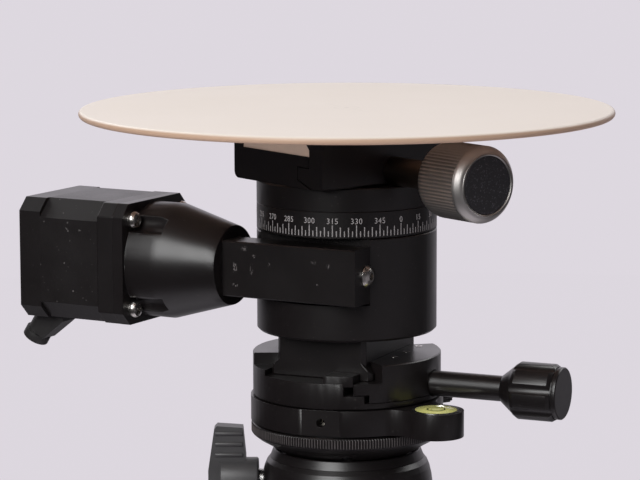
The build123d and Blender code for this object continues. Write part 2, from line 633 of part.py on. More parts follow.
def motor(ring_outs, ring_ins):
    """Two-phase stepper motor along the worm line, with all ring bearings of that line."""
    spots = [(a * MOTOR_SCREW, b * MOTOR_SCREW) for a in (-1, 1) for b in (-1, 1)]
    cup = 18.5
    bearing_w = 5.0
    bore = MOTOR_BEARING_R
    neck = 4.0
    front = octagon(CAP_CORNER, CAP_X, FACE_X) + rod(CONE_BORE - RUN, FACE_X, FACE_X + 2.0)
    front -= rod(bore, CAP_X - 1, FACE_X + 0.5) + rod(neck, CAP_X - 1, FACE_X + 3)
    front -= rod(cup, CAP_X - 1, CAP_X + 1.5)
    rear = octagon(CAP_CORNER, REAR_X, STACK_X)
    rear -= rod(cup, STACK_X - 2.5, STACK_X + 1) + rod(bore, REAR_X + 1.5, STACK_X + 1)
    stack = octagon(STACK_CORNER, STACK_X, CAP_X) - rod(cup - 1, STACK_X - 1, CAP_X + 1)
    half_pole = 2.2
    half_shoe = 3.8
    half_coil = 3.9
    coils = []
    for i in range(POLES):
        turn = Rot(0, 0, 360 / POLES * i)
        shoe = pipe(ROTOR_R + 1.5, ROTOR_R + GAP, STACK_X, CAP_X)
        shoe = shoe & block(0, cup, -half_shoe, half_shoe, STACK_X, CAP_X)
        stack += turn * (block(ROTOR_R + GAP, cup, -half_pole, half_pole, STACK_X, CAP_X) + shoe)
        coil = block(13.2, 16.6, -half_coil, half_coil, STACK_X - 1.6, CAP_X + 1.2)
        coil -= block(0, cup, -half_pole - SNUG, half_pole + SNUG, STACK_X - SNUG, CAP_X + SNUG)
        coils.append(DRIVE * turn * coil)
    head_seat = REAR_X + 2.6
    for x, y in spots:
        front -= rod(1.5, CAP_X - 1, FACE_X + 1, x, y)
        rear -= rod(1.6, REAR_X - 1, STACK_X + 1, x, y) + rod(3.0, REAR_X - 1, head_seat, x, y)
        stack -= rod(1.6, STACK_X - 1, CAP_X + 1, x, y)
    save("motor_front_cap", DRIVE * front)
    save("motor_rear_cap", DRIVE * rear)
    save("motor_stator", DRIVE * stack)
    save("motor_coils", coils)
    middle = (STACK_X + CAP_X) / 2
    core = 8.4
    magnet = 0.8
    rotor = rod(ROTOR_R, middle - core, middle - magnet) + rod(ROTOR_R, middle + magnet, middle + core)
    rotor += rod(ROTOR_R - 1.5, middle - 1.0, middle + 1.0) + rod(neck, STACK_X - 1.4, CAP_X + 1.2)
    rotor += rod(SHAFT_R, REAR_X + 1.8, COUPLING_X - 0.5)
    save("motor_rotor", DRIVE * rotor)
    starts = (REAR_X + 1.5, FACE_X + 0.5 - bearing_w)
    outs, ins = small_bearings(starts, SHAFT_R, MOTOR_BEARING_R, bearing_w)
    save("drive_bearing_outer", ring_outs + outs)
    save("drive_bearing_inner", ring_ins + ins)
    motor_screws(spots, head_seat)
    connector()


def motor_screws(spots, head_seat):
    """Long screws through the motor from its rear, and short ones with washers through the flange."""
    shank = 1.45
    long_end = CAP_X + 2.3
    short_end = FACE_X - 3.1
    washer = 0.7
    seat = FLANGE_X + washer + RUN
    top = 2.4
    long_screws = []
    short_screws = []
    for x, y in spots:
        long = rod(2.75, head_seat - 2.2, head_seat, x, y) + rod(shank, head_seat, long_end, x, y)
        long_screws.append(DRIVE * (long - cross_slot(x, y, head_seat - 2.2, 1)))
        head = turned([(0, 0), (3.0, 0), (3.0, 1.0), (2.5, 1.9), (1.4, top - 0.1), (0, top)])
        short = Pos(x, y, seat) * head + rod(shank, short_end, seat, x, y)
        short += rod(2.8, FLANGE_X, FLANGE_X + washer, x, y)
        short_screws.append(DRIVE * (short - cross_slot(x, y, seat + top, -1)))
    save("motor_long_screws", long_screws)
    save("flange_screws", short_screws)


def connector():
    """Connector under the motor's rear: a wedge-shaped housing with a round socket slanting out of it."""
    low = WORM_Z - MOTOR_HALF
    side = WORM_Y - SOCKET_DEPTH - 3.5
    line = Pos(SOCKET_X, side + SOCKET_DEPTH / 2, low) * Rot(0, -SOCKET_TILT, 0)
    housing = across([
        (REAR_X + 0.5, low), (REAR_X + 11.1, low), (REAR_X + 11.1, low - 2.3), (REAR_X + 7.8, low - 4.9),
        (REAR_X + 2.1, low - 9.3), (REAR_X - 0.6, low - 7.0),
    ], side, side + SOCKET_DEPTH)
    rim = 3.1
    barrel = rod(SOCKET_R + 0.8, -4.0, SOCKET_END) + rod(SOCKET_R + 1.5, SOCKET_END - rim, SOCKET_END)
    pocket = rod(SOCKET_R, SOCKET_END - 4.0, SOCKET_END + 1)
    above = block(REAR_X - 10, REAR_X + 20, side - 10, side + 20, low, low + 10)
    save("connector_inlet", housing + line * barrel - line * pocket - above)


def seat_plate(cover_screws):
    """Dovetail plate bolted under the rotator, with all screws of the underside."""
    head_seat = LOWER_FLOOR + 6.0
    plate = across(dovetail_outline(LOWER_FLOOR, BODY_BOTTOM), -SEAT_HALF_LENGTH, SEAT_HALF_LENGTH)
    plate = chamfer(plate.edges().filter_by(Axis.Z), 1.4)
    plate = LOWER * plate
    bolts = []
    for y in (-SEAT_BOLTS_Y, SEAT_BOLTS_Y):
        plate -= rod(1.6, LOWER_FLOOR - 1, BODY_BOTTOM + 1, 0, y) + rod(3.2, LOWER_FLOOR - 1, head_seat, 0, y)
        bolts.append(Pos(0, y, 0) * UPSIDE_DOWN * cap_screw(1.5, 2.9, 3.0, 12.0, 2.5, -head_seat))
    save("seat_plate", plate)
    save("underside_screws", cover_screws + bolts)


def lower_clamp():
    """Round panning clamp that grips the seat plate, split in steps between its base and its jaw."""
    step_low = LOWER_BOTTOM + 2.1
    step_mid = LOWER_BOTTOM + 4.8
    reach = LOWER_R + 8.0
    over = LOWER_TOP + 1
    split_low = 18.3
    split_high = 12.0
    slot = 3.1
    disc = rod(LOWER_R, LOWER_BOTTOM, LOWER_TOP)
    disc = chamfer(disc.edges().filter_by(GeomType.CIRCLE), 0.35)
    base_points = [(-reach, LOWER_BOTTOM - 1), (reach, LOWER_BOTTOM - 1), (reach, step_low)]
    base_points += [(split_low, step_low), (split_low, step_mid), (split_high, step_mid)]
    base_points += [(split_high, LOWER_FLOOR)]
    base_points += mirrored(jaw_face(LOWER_FLOOR, over)) + [(-reach, over)]
    base = disc & across(base_points, -reach, reach)
    jaw_points = [(split_low + 1.4, step_low + 0.2), (reach, step_low + 0.2), (reach, over)]
    jaw_points += list(reversed(jaw_face(LOWER_FLOOR, over)))
    jaw_points += [(split_high + slot, LOWER_FLOOR), (split_high + slot, step_mid + GAP)]
    jaw_points += [(split_low + 1.4, step_mid + GAP)]
    jaw = disc & across(jaw_points, -reach, reach)
    neck = DOVE_HALF + DOVE_FIT - DOVE_BEVEL
    for way in (-1, 1):
        corner = [(10, 17.2), (neck, 17.9), (24.4, 24.0), (24.4, reach), (10, reach)]
        jaw -= upright([(x, way * y) for x, y in corner], LOWER_FLOOR, over)
        shoulder = [(-10, 13.4), (-neck, 13.4), (-30.0, 19.4), (-reach, 19.4), (-reach, reach), (-10, reach)]
        base -= upright([(x, way * y) for x, y in shoulder], LOWER_FLOOR + 1.9, over)
    stop_y = -SEAT_HALF_LENGTH - 0.6
    stop = block(5.2, split_high + slot - GAP, -reach, stop_y, LOWER_FLOOR - 1, LOWER_FLOOR + 2.65)
    base += rod(LOWER_R - 0.35, LOWER_BOTTOM, LOWER_TOP) & stop
    tip = -9.0
    seat_x = LOWER_R - 3.75
    base -= bar(CLAMP_SCREW_R + SNUG, tip - 1, reach, 0, LOWER_SCREW_Z)
    base -= bar(LOWER_STEM_R + GAP, seat_x, reach, 0, LOWER_SCREW_Z)
    jaw -= bar(CLAMP_SCREW_R + GAP, 0, reach, 0, LOWER_SCREW_Z)
    jaw -= bar(LOWER_STEM_R + GAP, seat_x, reach, 0, LOWER_SCREW_Z)
    pin_r = 1.8
    pin_z = LOWER_SCREW_Z + 0.4
    pin_start = 2.0
    pin_end = 25.6
    pins = []
    for y in (-16.0, 16.0):
        base -= bar(pin_r, pin_start, split_low + 1.7, y, pin_z)
        jaw -= bar(pin_r + RUN, 0, pin_end + 0.4, y, pin_z)
        pins.append(LOWER * bar(pin_r, pin_start, pin_end, y, pin_z))
    stud_r = 1.3
    stud_x = 20.6
    studs = []
    for y in (-6.4, 4.7, 15.8):
        jaw -= rod(stud_r, LOWER_TOP - 3, over, stud_x, y)
        studs.append(LOWER * Pos(stud_x, y, LOWER_TOP - 3) * grub(stud_r - SNUG / 2, 3.1, 1.2))
    boss = pipe(TURN_R, 12.4, PAN_BOTTOM + 2.3, LOWER_BOTTOM)
    base += boss - pipe(TURN_R + 1, TURN_R - 1.5, PAN_GROOVE_Z - 1.2, PAN_GROOVE_Z + 1.2)
    save("lower_clamp_base", LOWER * base)
    save("lower_clamp_jaw", LOWER * jaw)
    save("lower_guide_pins", pins)
    save("jaw_set_screws", studs)
    lower_knob(tip, seat_x + RUN)


def lower_knob(tip, stem_start):
    """Clamp screw with its stem, and the fluted knob with a conical back and a disc in its face."""
    stem_end = LOWER_KNOB_START + 11.0
    shoulder = LOWER_KNOB_START + 4.6
    crest_start = shoulder + 1.7
    crest_end = LOWER_KNOB_END - 3.2
    neck_r = LOWER_KNOB_R - 1.15
    face_r = LOWER_KNOB_R - 0.9
    stem = rod(CLAMP_SCREW_R, tip, stem_start) + rod(LOWER_STEM_R, stem_start, stem_end)
    save("lower_clamp_screw", LOWER_SCREW * stem)
    knob = turned([
        (0, LOWER_KNOB_START), (LOWER_STEM_R + 0.5, LOWER_KNOB_START), (LOWER_KNOB_R - 1.3, shoulder),
        (LOWER_KNOB_R - 0.9, shoulder + 0.3), (LOWER_KNOB_R, crest_start), (LOWER_KNOB_R, crest_end),
        (LOWER_KNOB_R - 0.8, crest_end + 1.2), (neck_r, crest_end + 1.2), (neck_r, crest_end + 1.6),
        (face_r, crest_end + 1.6), (face_r, LOWER_KNOB_END - 0.3), (face_r - 0.3, LOWER_KNOB_END),
        (0, LOWER_KNOB_END),
    ])
    knob -= rod(LOWER_STEM_R + SNUG / 2, LOWER_KNOB_START - 1, stem_end + SNUG)
    for x, y in around(FLUTES, LOWER_KNOB_R + FLUTE_R / 2, FLUTE_TURN):
        knob -= rod(FLUTE_R, shoulder - 1, crest_end + 1.2, x, y)
    save("lower_knob", LOWER_SCREW * knob)


def lug_outline():
    """Straight-sided web between the panning ring and the lug, and the two circles that hollow its sides."""
    ring_reach = PAN_R + LUG_HOLLOW_R
    lug_reach = LUG_R + LUG_HOLLOW_R
    cosine = (ring_reach ** 2 + LUG_DISTANCE ** 2 - lug_reach ** 2) / (2 * ring_reach * LUG_DISTANCE)
    hollow_x = ring_reach * cosine
    hollow_y = ring_reach * math.sqrt(1 - cosine ** 2)
    share = LUG_R / lug_reach
    near = (hollow_x * PAN_R / ring_reach, hollow_y * PAN_R / ring_reach)
    far = (LUG_DISTANCE + (hollow_x - LUG_DISTANCE) * share, hollow_y * share)
    web = [near, far, (far[0], -far[1]), (near[0], -near[1])]
    return web, ((hollow_x, hollow_y), (hollow_x, -hollow_y))


def pan_base():
    """Fixed ring with the level lug, lock knob and set screw."""
    web, hollows = lug_outline()
    plate = upright(web, PAN_BOTTOM, PAN_TOP)
    for x, y in hollows:
        plate -= rod(LUG_HOLLOW_R, PAN_BOTTOM - 1, PAN_TOP + 1, x, y)
    vial_floor = PAN_TOP - 4.6
    rim_r = VIAL_R + 0.85
    ring = rod(PAN_R, PAN_BOTTOM, PAN_TOP) + plate + rod(LUG_R, PAN_BOTTOM, PAN_TOP, LUG_DISTANCE, 0)
    ring -= rod(rim_r + SNUG, vial_floor, PAN_TOP + 1, LUG_DISTANCE, 0)
    ring = Rot(0, 0, LUG_ANGLE) * ring
    ring -= pipe(TURN_R + RUN, 12.2, PAN_BOTTOM + 2.0, PAN_TOP + 1)
    ring -= rod(13.0, PAN_TOP - 0.6, PAN_TOP + 1)
    ring -= rod(STUD_R + SNUG, PAN_BOTTOM - 1, PAN_BOTTOM + 7.4)
    flat = PAN_R - 0.75
    ring -= Rot(0, 0, FLAT_ANGLE) * block(flat, PAN_R + 2, -6.7, 6.7, PAN_BOTTOM, PAN_TOP + 1)
    dog_r = 1.5
    lock_r = 2.0
    ring -= radial(FLAT_ANGLE, PAN_GROOVE_Z, rod(dog_r, TURN_R - 1, PAN_R + 1))
    ring -= radial(LOCK_ANGLE, PAN_GROOVE_Z, rod(lock_r, TURN_R - 1, PAN_R + 1))
    save("pan_base", ring)
    pad = rod(1.1, TURN_R - 1.1, TURN_R + 1.9)
    save("pan_lock_pad", radial(LOCK_ANGLE, PAN_GROOVE_Z, pad))
    head_start = PAN_R + 1.65
    head_end = head_start + 8.6
    grip = upright(star(16, 3.9, 3.5), head_start + 0.8, head_end - 0.8)
    grip += turned([(0, head_start), (2.6, head_start), (3.4, head_start + 0.8), (3.4, head_end - 0.8),
                    (2.6, head_end), (0, head_end)])
    shank = rod(lock_r - RUN, TURN_R + 2.2, head_start + 2)
    save("pan_lock_knob", radial(LOCK_ANGLE, PAN_GROOVE_Z, grip + shank))
    lug = Rot(0, 0, LUG_ANGLE) * Pos(LUG_DISTANCE, 0, 0)
    save("level_rim", lug * pipe(rim_r, VIAL_R, vial_floor, PAN_TOP + 0.15))
    vial = turned([
        (0, vial_floor), (VIAL_R - SNUG, vial_floor), (VIAL_R - SNUG, PAN_TOP - 0.1),
        (VIAL_R * 0.6, PAN_TOP + 0.25), (0, PAN_TOP + 0.4),
    ])
    save("level_vial", lug * vial)
    dog = rod(0.9, TURN_R - 1.2, TURN_R + 1.0) + Pos(0, 0, TURN_R + 1.0) * grub(dog_r - SNUG / 2, 7.0, 1.5)
    return [radial(FLAT_ANGLE, PAN_GROOVE_Z, dog)]


def column(grubs):
    """Head plate, pad, stud and tube of the centre column, with the grub screws that ride on it."""
    save("rubber_pad", pipe(PLATE_R - 1.6, STUD_R + 1.0, PLATE_TOP, PAN_BOTTOM))
    tube_top = 43.0
    inside = COLUMN_R - COLUMN_WALL
    plate = turned([
        (0, PLATE_BOTTOM), (COLLAR_R - 9.8, PLATE_BOTTOM), (COLLAR_R - 9.6, PLATE_BOTTOM + 1.0),
        (COLLAR_R - 7.9, PLATE_BOTTOM + 1.4), (PLATE_R - 5.5, PLATE_BOTTOM + 4.4),
        (PLATE_R - 4.5, PLATE_BOTTOM + 5.0), (PLATE_R - 1.9, PLATE_BOTTOM + 6.5),
        (PLATE_R - 0.5, PLATE_RIM_BOTTOM - 0.45), (PLATE_R, PLATE_RIM_BOTTOM),
        (PLATE_R, PLATE_TOP - GAP), (PLATE_R - GAP, PLATE_TOP), (0, PLATE_TOP),
    ])
    plate -= rod(COLUMN_R + SNUG, PLATE_BOTTOM - 1, tube_top)
    plate -= rod(STUD_R, PLATE_BOTTOM - 1, PLATE_TOP + 1)
    grub_r = 2.0
    over = 7.0
    for turn in (-61.5, 58.5, 178.5):
        place = Rot(0, 0, turn) * Pos(25.6, 0, 0)
        plate -= place * rod(grub_r, PLATE_BOTTOM - over, PLATE_TOP + over)
        grubs.append(place * Pos(0, 0, PLATE_TOP) * UPSIDE_DOWN * grub(grub_r - SNUG, 6.0, 2.0))
    save("head_plate", plate)
    save("grub_screws", grubs)
    stud = rod(STUD_R - SNUG, 33.0, PAN_BOTTOM + 6.8) + rod(inside - SNUG, 26.0, tube_top - 0.1)
    save("head_stud", stud)
    save("column_tube", pipe(COLUMN_R, inside, COLUMN_BOTTOM, tube_top))
    foot_r = COLUMN_R + 2.2
    foot = turned([
        (0, COLUMN_BOTTOM - 3), (foot_r - 1.0, COLUMN_BOTTOM - 3), (foot_r, COLUMN_BOTTOM - 2),
        (foot_r, COLUMN_BOTTOM), (inside - SNUG, COLUMN_BOTTOM), (inside - SNUG, COLUMN_BOTTOM + 12),
        (0, COLUMN_BOTTOM + 12),
    ])
    save("column_foot", foot)


def collar():
    """Collar that guides the column, its bush, cap ring and wing lock."""
    seam_r = COLLAR_R - 3.6
    seam_z = COLLAR_SHOULDER + 1.5
    recess_r = COLLAR_R - 5.4
    recess_floor = COLLAR_SHOULDER - 2.0
    flange_r = recess_r - 0.7
    housing = turned([
        (BUSH_R + SNUG, 0.5), (BUSH_R + 0.6, 0), (SPIGOT_R, 0), (SPIGOT_R, SPIGOT_TOP),
        (COLLAR_R + 1.0, SPIGOT_TOP), (COLLAR_R + 1.0, SPIGOT_TOP + 3.6), (COLLAR_R + 0.4, SPIGOT_TOP + 4.2),
        (COLLAR_R, 16.0),
        (COLLAR_R - 0.1, 21.0), (COLLAR_R - 0.4, 26.0), (COLLAR_R - 0.9, 30.0), (COLLAR_R - 1.6, 33.0),
        (COLLAR_R - 2.4, COLLAR_SHOULDER), (seam_r, seam_z), (recess_r, seam_z), (recess_r, recess_floor),
        (BUSH_R + SNUG, recess_floor),
    ])
    shaft_end = WING_START + 10.0
    seat_end = 21.2
    housing -= radial(WING_ANGLE, WING_Z, rod(LOCK_SHAFT_R + SNUG, COLUMN_R, COLLAR_R + 5))
    housing -= radial(WING_ANGLE, WING_Z, rod(6.0, COLUMN_R, seat_end))
    save("column_collar", housing)
    lip_r = flange_r - 1.0
    lip_z = COLLAR_TOP - 2.5
    cap = turned([
        (flange_r + RUN, recess_floor + RUN), (recess_r - SNUG, recess_floor + RUN),
        (recess_r - SNUG, seam_z + RUN), (seam_r - SNUG, seam_z + RUN), (seam_r - 1.15, COLLAR_TOP - GAP),
        (seam_r - 1.45, COLLAR_TOP),
        (recess_r, COLLAR_TOP), (lip_r, COLLAR_TOP - 1.1), (lip_r, lip_z), (flange_r + RUN, lip_z),
    ])
    save("collar_cap", cap)
    bush_top = lip_z - RUN
    bore = COLUMN_R + RUN
    bush = pipe(BUSH_R, bore, 6.0, bush_top) + pipe(flange_r, bore, recess_floor + RUN, bush_top)
    for angle in (35, 155, 275):
        bush -= Rot(0, 0, angle) * block(10, 30, -1.1, 1.1, 12.0, bush_top + 1)
    bush -= radial(WING_ANGLE, WING_Z, rod(5.3, 5, 20))
    save("column_bush", bush)
    shoe = radial(WING_ANGLE, WING_Z, rod(5.0, 10, 19.0)) - rod(bore + RUN, 0, 60)
    save("lock_shoe", shoe)
    save("wing_shaft", radial(WING_ANGLE, WING_Z, rod(LOCK_SHAFT_R, 19.3, shaft_end)))
    wing_knob(shaft_end)


def wing_knob(shaft_end):
    """Wing of the column lock: a hub and two blades, each with three round ribs on either side."""
    hub = turned([
        (0, WING_START), (WING_HUB_R - 0.5, WING_START), (WING_HUB_R, WING_START + 0.5),
        (WING_HUB_R, WING_END - 0.6), (WING_HUB_R - 0.6, WING_END), (0, WING_END),
    ])
    blade = across([
        (0, WING_START + 4.2), (9, WING_START + 4.4), (WING_HALF - 0.6, WING_START + 5.4),
        (WING_HALF, WING_START + 14.4), (WING_HALF - 1.0, WING_START + 15.4), (4, WING_START + 17.6),
        (0, WING_START + 17.6),
    ], -WING_HALF_THICK, WING_HALF_THICK)
    for height in (9.6, 13.4, 17.2):
        for y in (-WING_HALF_THICK, WING_HALF_THICK):
            blade += rod(0.75, WING_START + 5.6, WING_START + 15.0, height, y)
    wing = hub + blade + Rot(0, 0, 180) * blade
    wing -= rod(LOCK_SHAFT_R + SNUG / 2, WING_START - 1, shaft_end + SNUG)
    save("wing_knob", radial(WING_ANGLE, WING_Z, wing))


table()
upper_clamp()
ARM_SCREWS, COVER_SCREWS = rotator()
worm_wheel()
RING_OUTS, RING_INS = worm_drive(ARM_SCREWS)
motor(RING_OUTS, RING_INS)
seat_plate(COVER_SCREWS)
lower_clamp()
GRUBS = pan_base()
column(GRUBS)
collar()
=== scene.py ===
"""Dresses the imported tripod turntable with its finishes, its scale and its fine knurls, and sets the studio."""

import math

import bpy
import numpy as np
from bpy.props import FloatProperty, FloatVectorProperty, IntProperty, PointerProperty
from mathutils import Matrix, Vector


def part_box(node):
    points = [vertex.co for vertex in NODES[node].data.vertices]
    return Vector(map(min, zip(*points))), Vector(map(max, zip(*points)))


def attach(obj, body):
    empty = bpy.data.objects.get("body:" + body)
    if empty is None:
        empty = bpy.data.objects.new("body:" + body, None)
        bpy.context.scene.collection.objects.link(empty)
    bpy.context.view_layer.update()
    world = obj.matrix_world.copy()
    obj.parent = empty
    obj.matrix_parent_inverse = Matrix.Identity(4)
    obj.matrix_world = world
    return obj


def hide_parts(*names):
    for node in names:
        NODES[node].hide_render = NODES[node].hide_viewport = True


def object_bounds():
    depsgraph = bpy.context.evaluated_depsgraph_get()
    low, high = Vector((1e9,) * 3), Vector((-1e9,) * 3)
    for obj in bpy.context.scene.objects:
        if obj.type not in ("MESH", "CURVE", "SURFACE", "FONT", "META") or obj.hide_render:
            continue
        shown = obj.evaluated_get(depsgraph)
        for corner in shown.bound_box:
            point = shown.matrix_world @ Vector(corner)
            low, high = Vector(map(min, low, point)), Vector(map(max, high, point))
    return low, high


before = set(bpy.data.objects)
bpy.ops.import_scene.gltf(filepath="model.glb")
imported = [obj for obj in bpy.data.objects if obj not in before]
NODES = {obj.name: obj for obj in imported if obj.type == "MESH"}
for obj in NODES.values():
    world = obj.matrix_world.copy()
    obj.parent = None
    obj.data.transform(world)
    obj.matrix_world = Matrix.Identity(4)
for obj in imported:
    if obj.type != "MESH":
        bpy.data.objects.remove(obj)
CAD_BOX = [list(corner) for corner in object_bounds()]

bl_info = {
    "name": "Tripod Turntable Dressing",
    "version": (1, 0, 0),
    "blender": (4, 5, 0),
    "location": "View3D > Sidebar > Turntable",
    "description": "Finishes, scale, knurls and studio for a motor-driven tripod turntable",
    "category": "Object",
}

MM = 0.001

# Radius of the hole left at a pole, and the gap that a weld closes
POLE = 1e-5
WELD_GAP = 1e-7

# Angles of the upper clamp's screw and of the scale's zero about the turning axis, in degrees from +X
UPPER_ANGLE = -24.14
SCALE_ANGLE = -25.2

# The silver knob: its ends along the screw from the turning axis, the radii of its bore and of the inlay's
# seat, the seat's depth, and the length and width of the softened rim
KNOB_START = 54.0 * MM
KNOB_END = 76.0 * MM
KNOB_BORE = 4.88 * MM
KNOB_SEAT_BORE = 4.9 * MM
KNOB_SEAT = 9.75 * MM
KNOB_SEAT_DEPTH = 1.4 * MM
KNOB_RIM_LENGTH = 2.2 * MM
KNOB_RIM_WIDTH = 1.9 * MM
KNOB_BAND_ROWS = 14

# The printed scale, in millimetres: each kind of line by its step in degrees and the height it runs up to
SCALE_RADIUS = 31.2
SCALE_FOOT = 118.1
SCALE_LINES = ((2.5, 120.0), (5.0, 121.3), (15.0, 122.0))
LINE_HALF = 0.17
LINE_SOFT = 0.06
NUMBER_STEP = 15
NUMBER_SIZE = 2.75 * MM
NUMBER_FOOT = 122.45 * MM
NUMBER_PROUD = 0.03 * MM
NUMBER_NARROWING = 0.94

# The disc: above MARKED_TOP lie the marks on its face, and below the height after it its rim takes a painted
# shade, a tan that stands for the shade where the rim curves under. The marks are a dot and a ring of these radii
# and a pencil line between these two reaches.
MARKED_TOP = 158.5 * MM
SHADED_RIM_TOP = 158.15 * MM
DOT_RADIUS = 0.9 * MM
RING_RADIUS = 4.2 * MM
PENCIL_FROM = 6 * MM
PENCIL_TO = 16 * MM

# The scuffs on the arm's front: (x, z), half width and half height in millimetres, and strength
ARM_FRONT = -33.2 * MM
SCUFFS = (
    (-25.3, 105.6, 1.3, 2.6, 0.55),
    (-25.0, 99.6, 1.6, 0.9, 0.5),
    (-21.4, 112.4, 1.8, 1.3, 0.35),
    (-17.6, 110.0, 0.9, 0.8, 0.6),
    (-18.6, 105.4, 1.0, 2.4, 0.3),
    (-11.8, 107.6, 0.7, 0.9, 0.4),
    (5.6, 109.6, 1.5, 1.0, 0.4),
    (11.4, 108.6, 1.2, 1.1, 0.45),
    (7.0, 102.0, 0.5, 0.5, 0.5),
)

# The level: the radius of its circle, of its bubble and of its glass, and the bubble's place
LEVEL_CIRCLE = 3.0 * MM
LEVEL_BUBBLE = 1.9 * MM
LEVEL_GLASS = 7.2 * MM
BUBBLE_AT = (0.4 * MM, -0.3 * MM)

# The knurled band round the head plate: its foot, how far it ends below the plate's top, how far it stands
# out and reaches in from the plate's radius, and the width and height of its chamfers
BAND_FOOT = 45.4 * MM
BAND_BELOW_TOP = 0.25 * MM
BAND_PROUD = 0.35 * MM
BAND_ROOT = 0.5 * MM
BAND_CHAMFER = 0.3 * MM
BAND_CHAMFER_TALL = 0.35 * MM
BAND_ROWS = 6

# Widths of the eased edges, and the angle between two faces from which an edge is eased
MACHINED_EDGE = 0.34 * MM
SOFT_EDGE = 0.38 * MM
PLASTIC_EDGE = 0.3 * MM
WING_EDGE = 0.35 * MM
RAIL_EDGE = 0.2 * MM
SCREW_EDGE = 0.12 * MM
SHARP_FROM = math.radians(32)

# Scales of the noises, in patches a metre
CLOUDS = 60.0
GRAIN = 2600.0

# The floor: its rings in metres, and the reaches between which it melts into the backdrop
FLOOR_RINGS = (0.1, 0.2, 0.4, 0.7, 1.1)
FLOOR_NEAR = 0.12
FLOOR_FAR = 0.35
FLOOR_GAP = 0.5 * MM

# The camera's azimuth in degrees, which the lamps and the world share, and the height that the lamps
# point at
CAMERA_AZIMUTH = 28.77
LAMP_TARGET = 110 * MM

# Soft boxes by name, azimuth from the camera's side and elevation in degrees, distance, width and height in
# metres, and power in watts
SOFT_BOXES = (
    ("Top soft box", 180.0, 62.0, 1.1, 0.9, 0.9, 1.6),
    ("Back soft box, left", -140.0, 36.0, 1.5, 0.7, 0.7, 4.6),
    ("Back soft box, right", 125.0, 36.0, 1.5, 0.7, 0.7, 4.6),
    ("Front soft box", -27.0, 31.0, 1.5, 0.8, 1.05, 21.0),
)

# Strengths of the world in a gloss: everywhere, behind the object, above the horizon there, beside the object
# and straight below it. The last one is for diffuse rays.
GLOSS_BASE = 0.04
GLOSS_BEHIND = 0.58
GLOSS_SKY = 0.75
GLOSS_BESIDE = 0.30
GLOSS_UNDER = 0.9
DIFFUSE_FILL = 0.30


# Shader expressions

class Value:
    """A number on a shader socket. Arithmetic on it adds one Math node for each operation."""

    def __init__(self, look, socket):
        self.look = look
        self.socket = socket

    def __add__(self, other):
        return self.look.maths("ADD", self, other)

    def __radd__(self, other):
        return self.look.maths("ADD", other, self)

    def __sub__(self, other):
        return self.look.maths("SUBTRACT", self, other)

    def __rsub__(self, other):
        return self.look.maths("SUBTRACT", other, self)

    def __mul__(self, other):
        return self.look.maths("MULTIPLY", self, other)

    def __truediv__(self, other):
        return self.look.maths("DIVIDE", self, other)

    def absolute(self):
        return self.look.maths("ABSOLUTE", self)

    def fraction(self):
        return self.look.maths("FRACT", self)

    def below(self, edge, soft):
        """1 under the edge and 0 over it, across a soft step."""
        return self.look.step(self, edge + soft, edge - soft)

    def above(self, edge, soft):
        """0 under the edge and 1 over it, across a soft step."""
        return self.look.step(self, edge - soft, edge + soft)


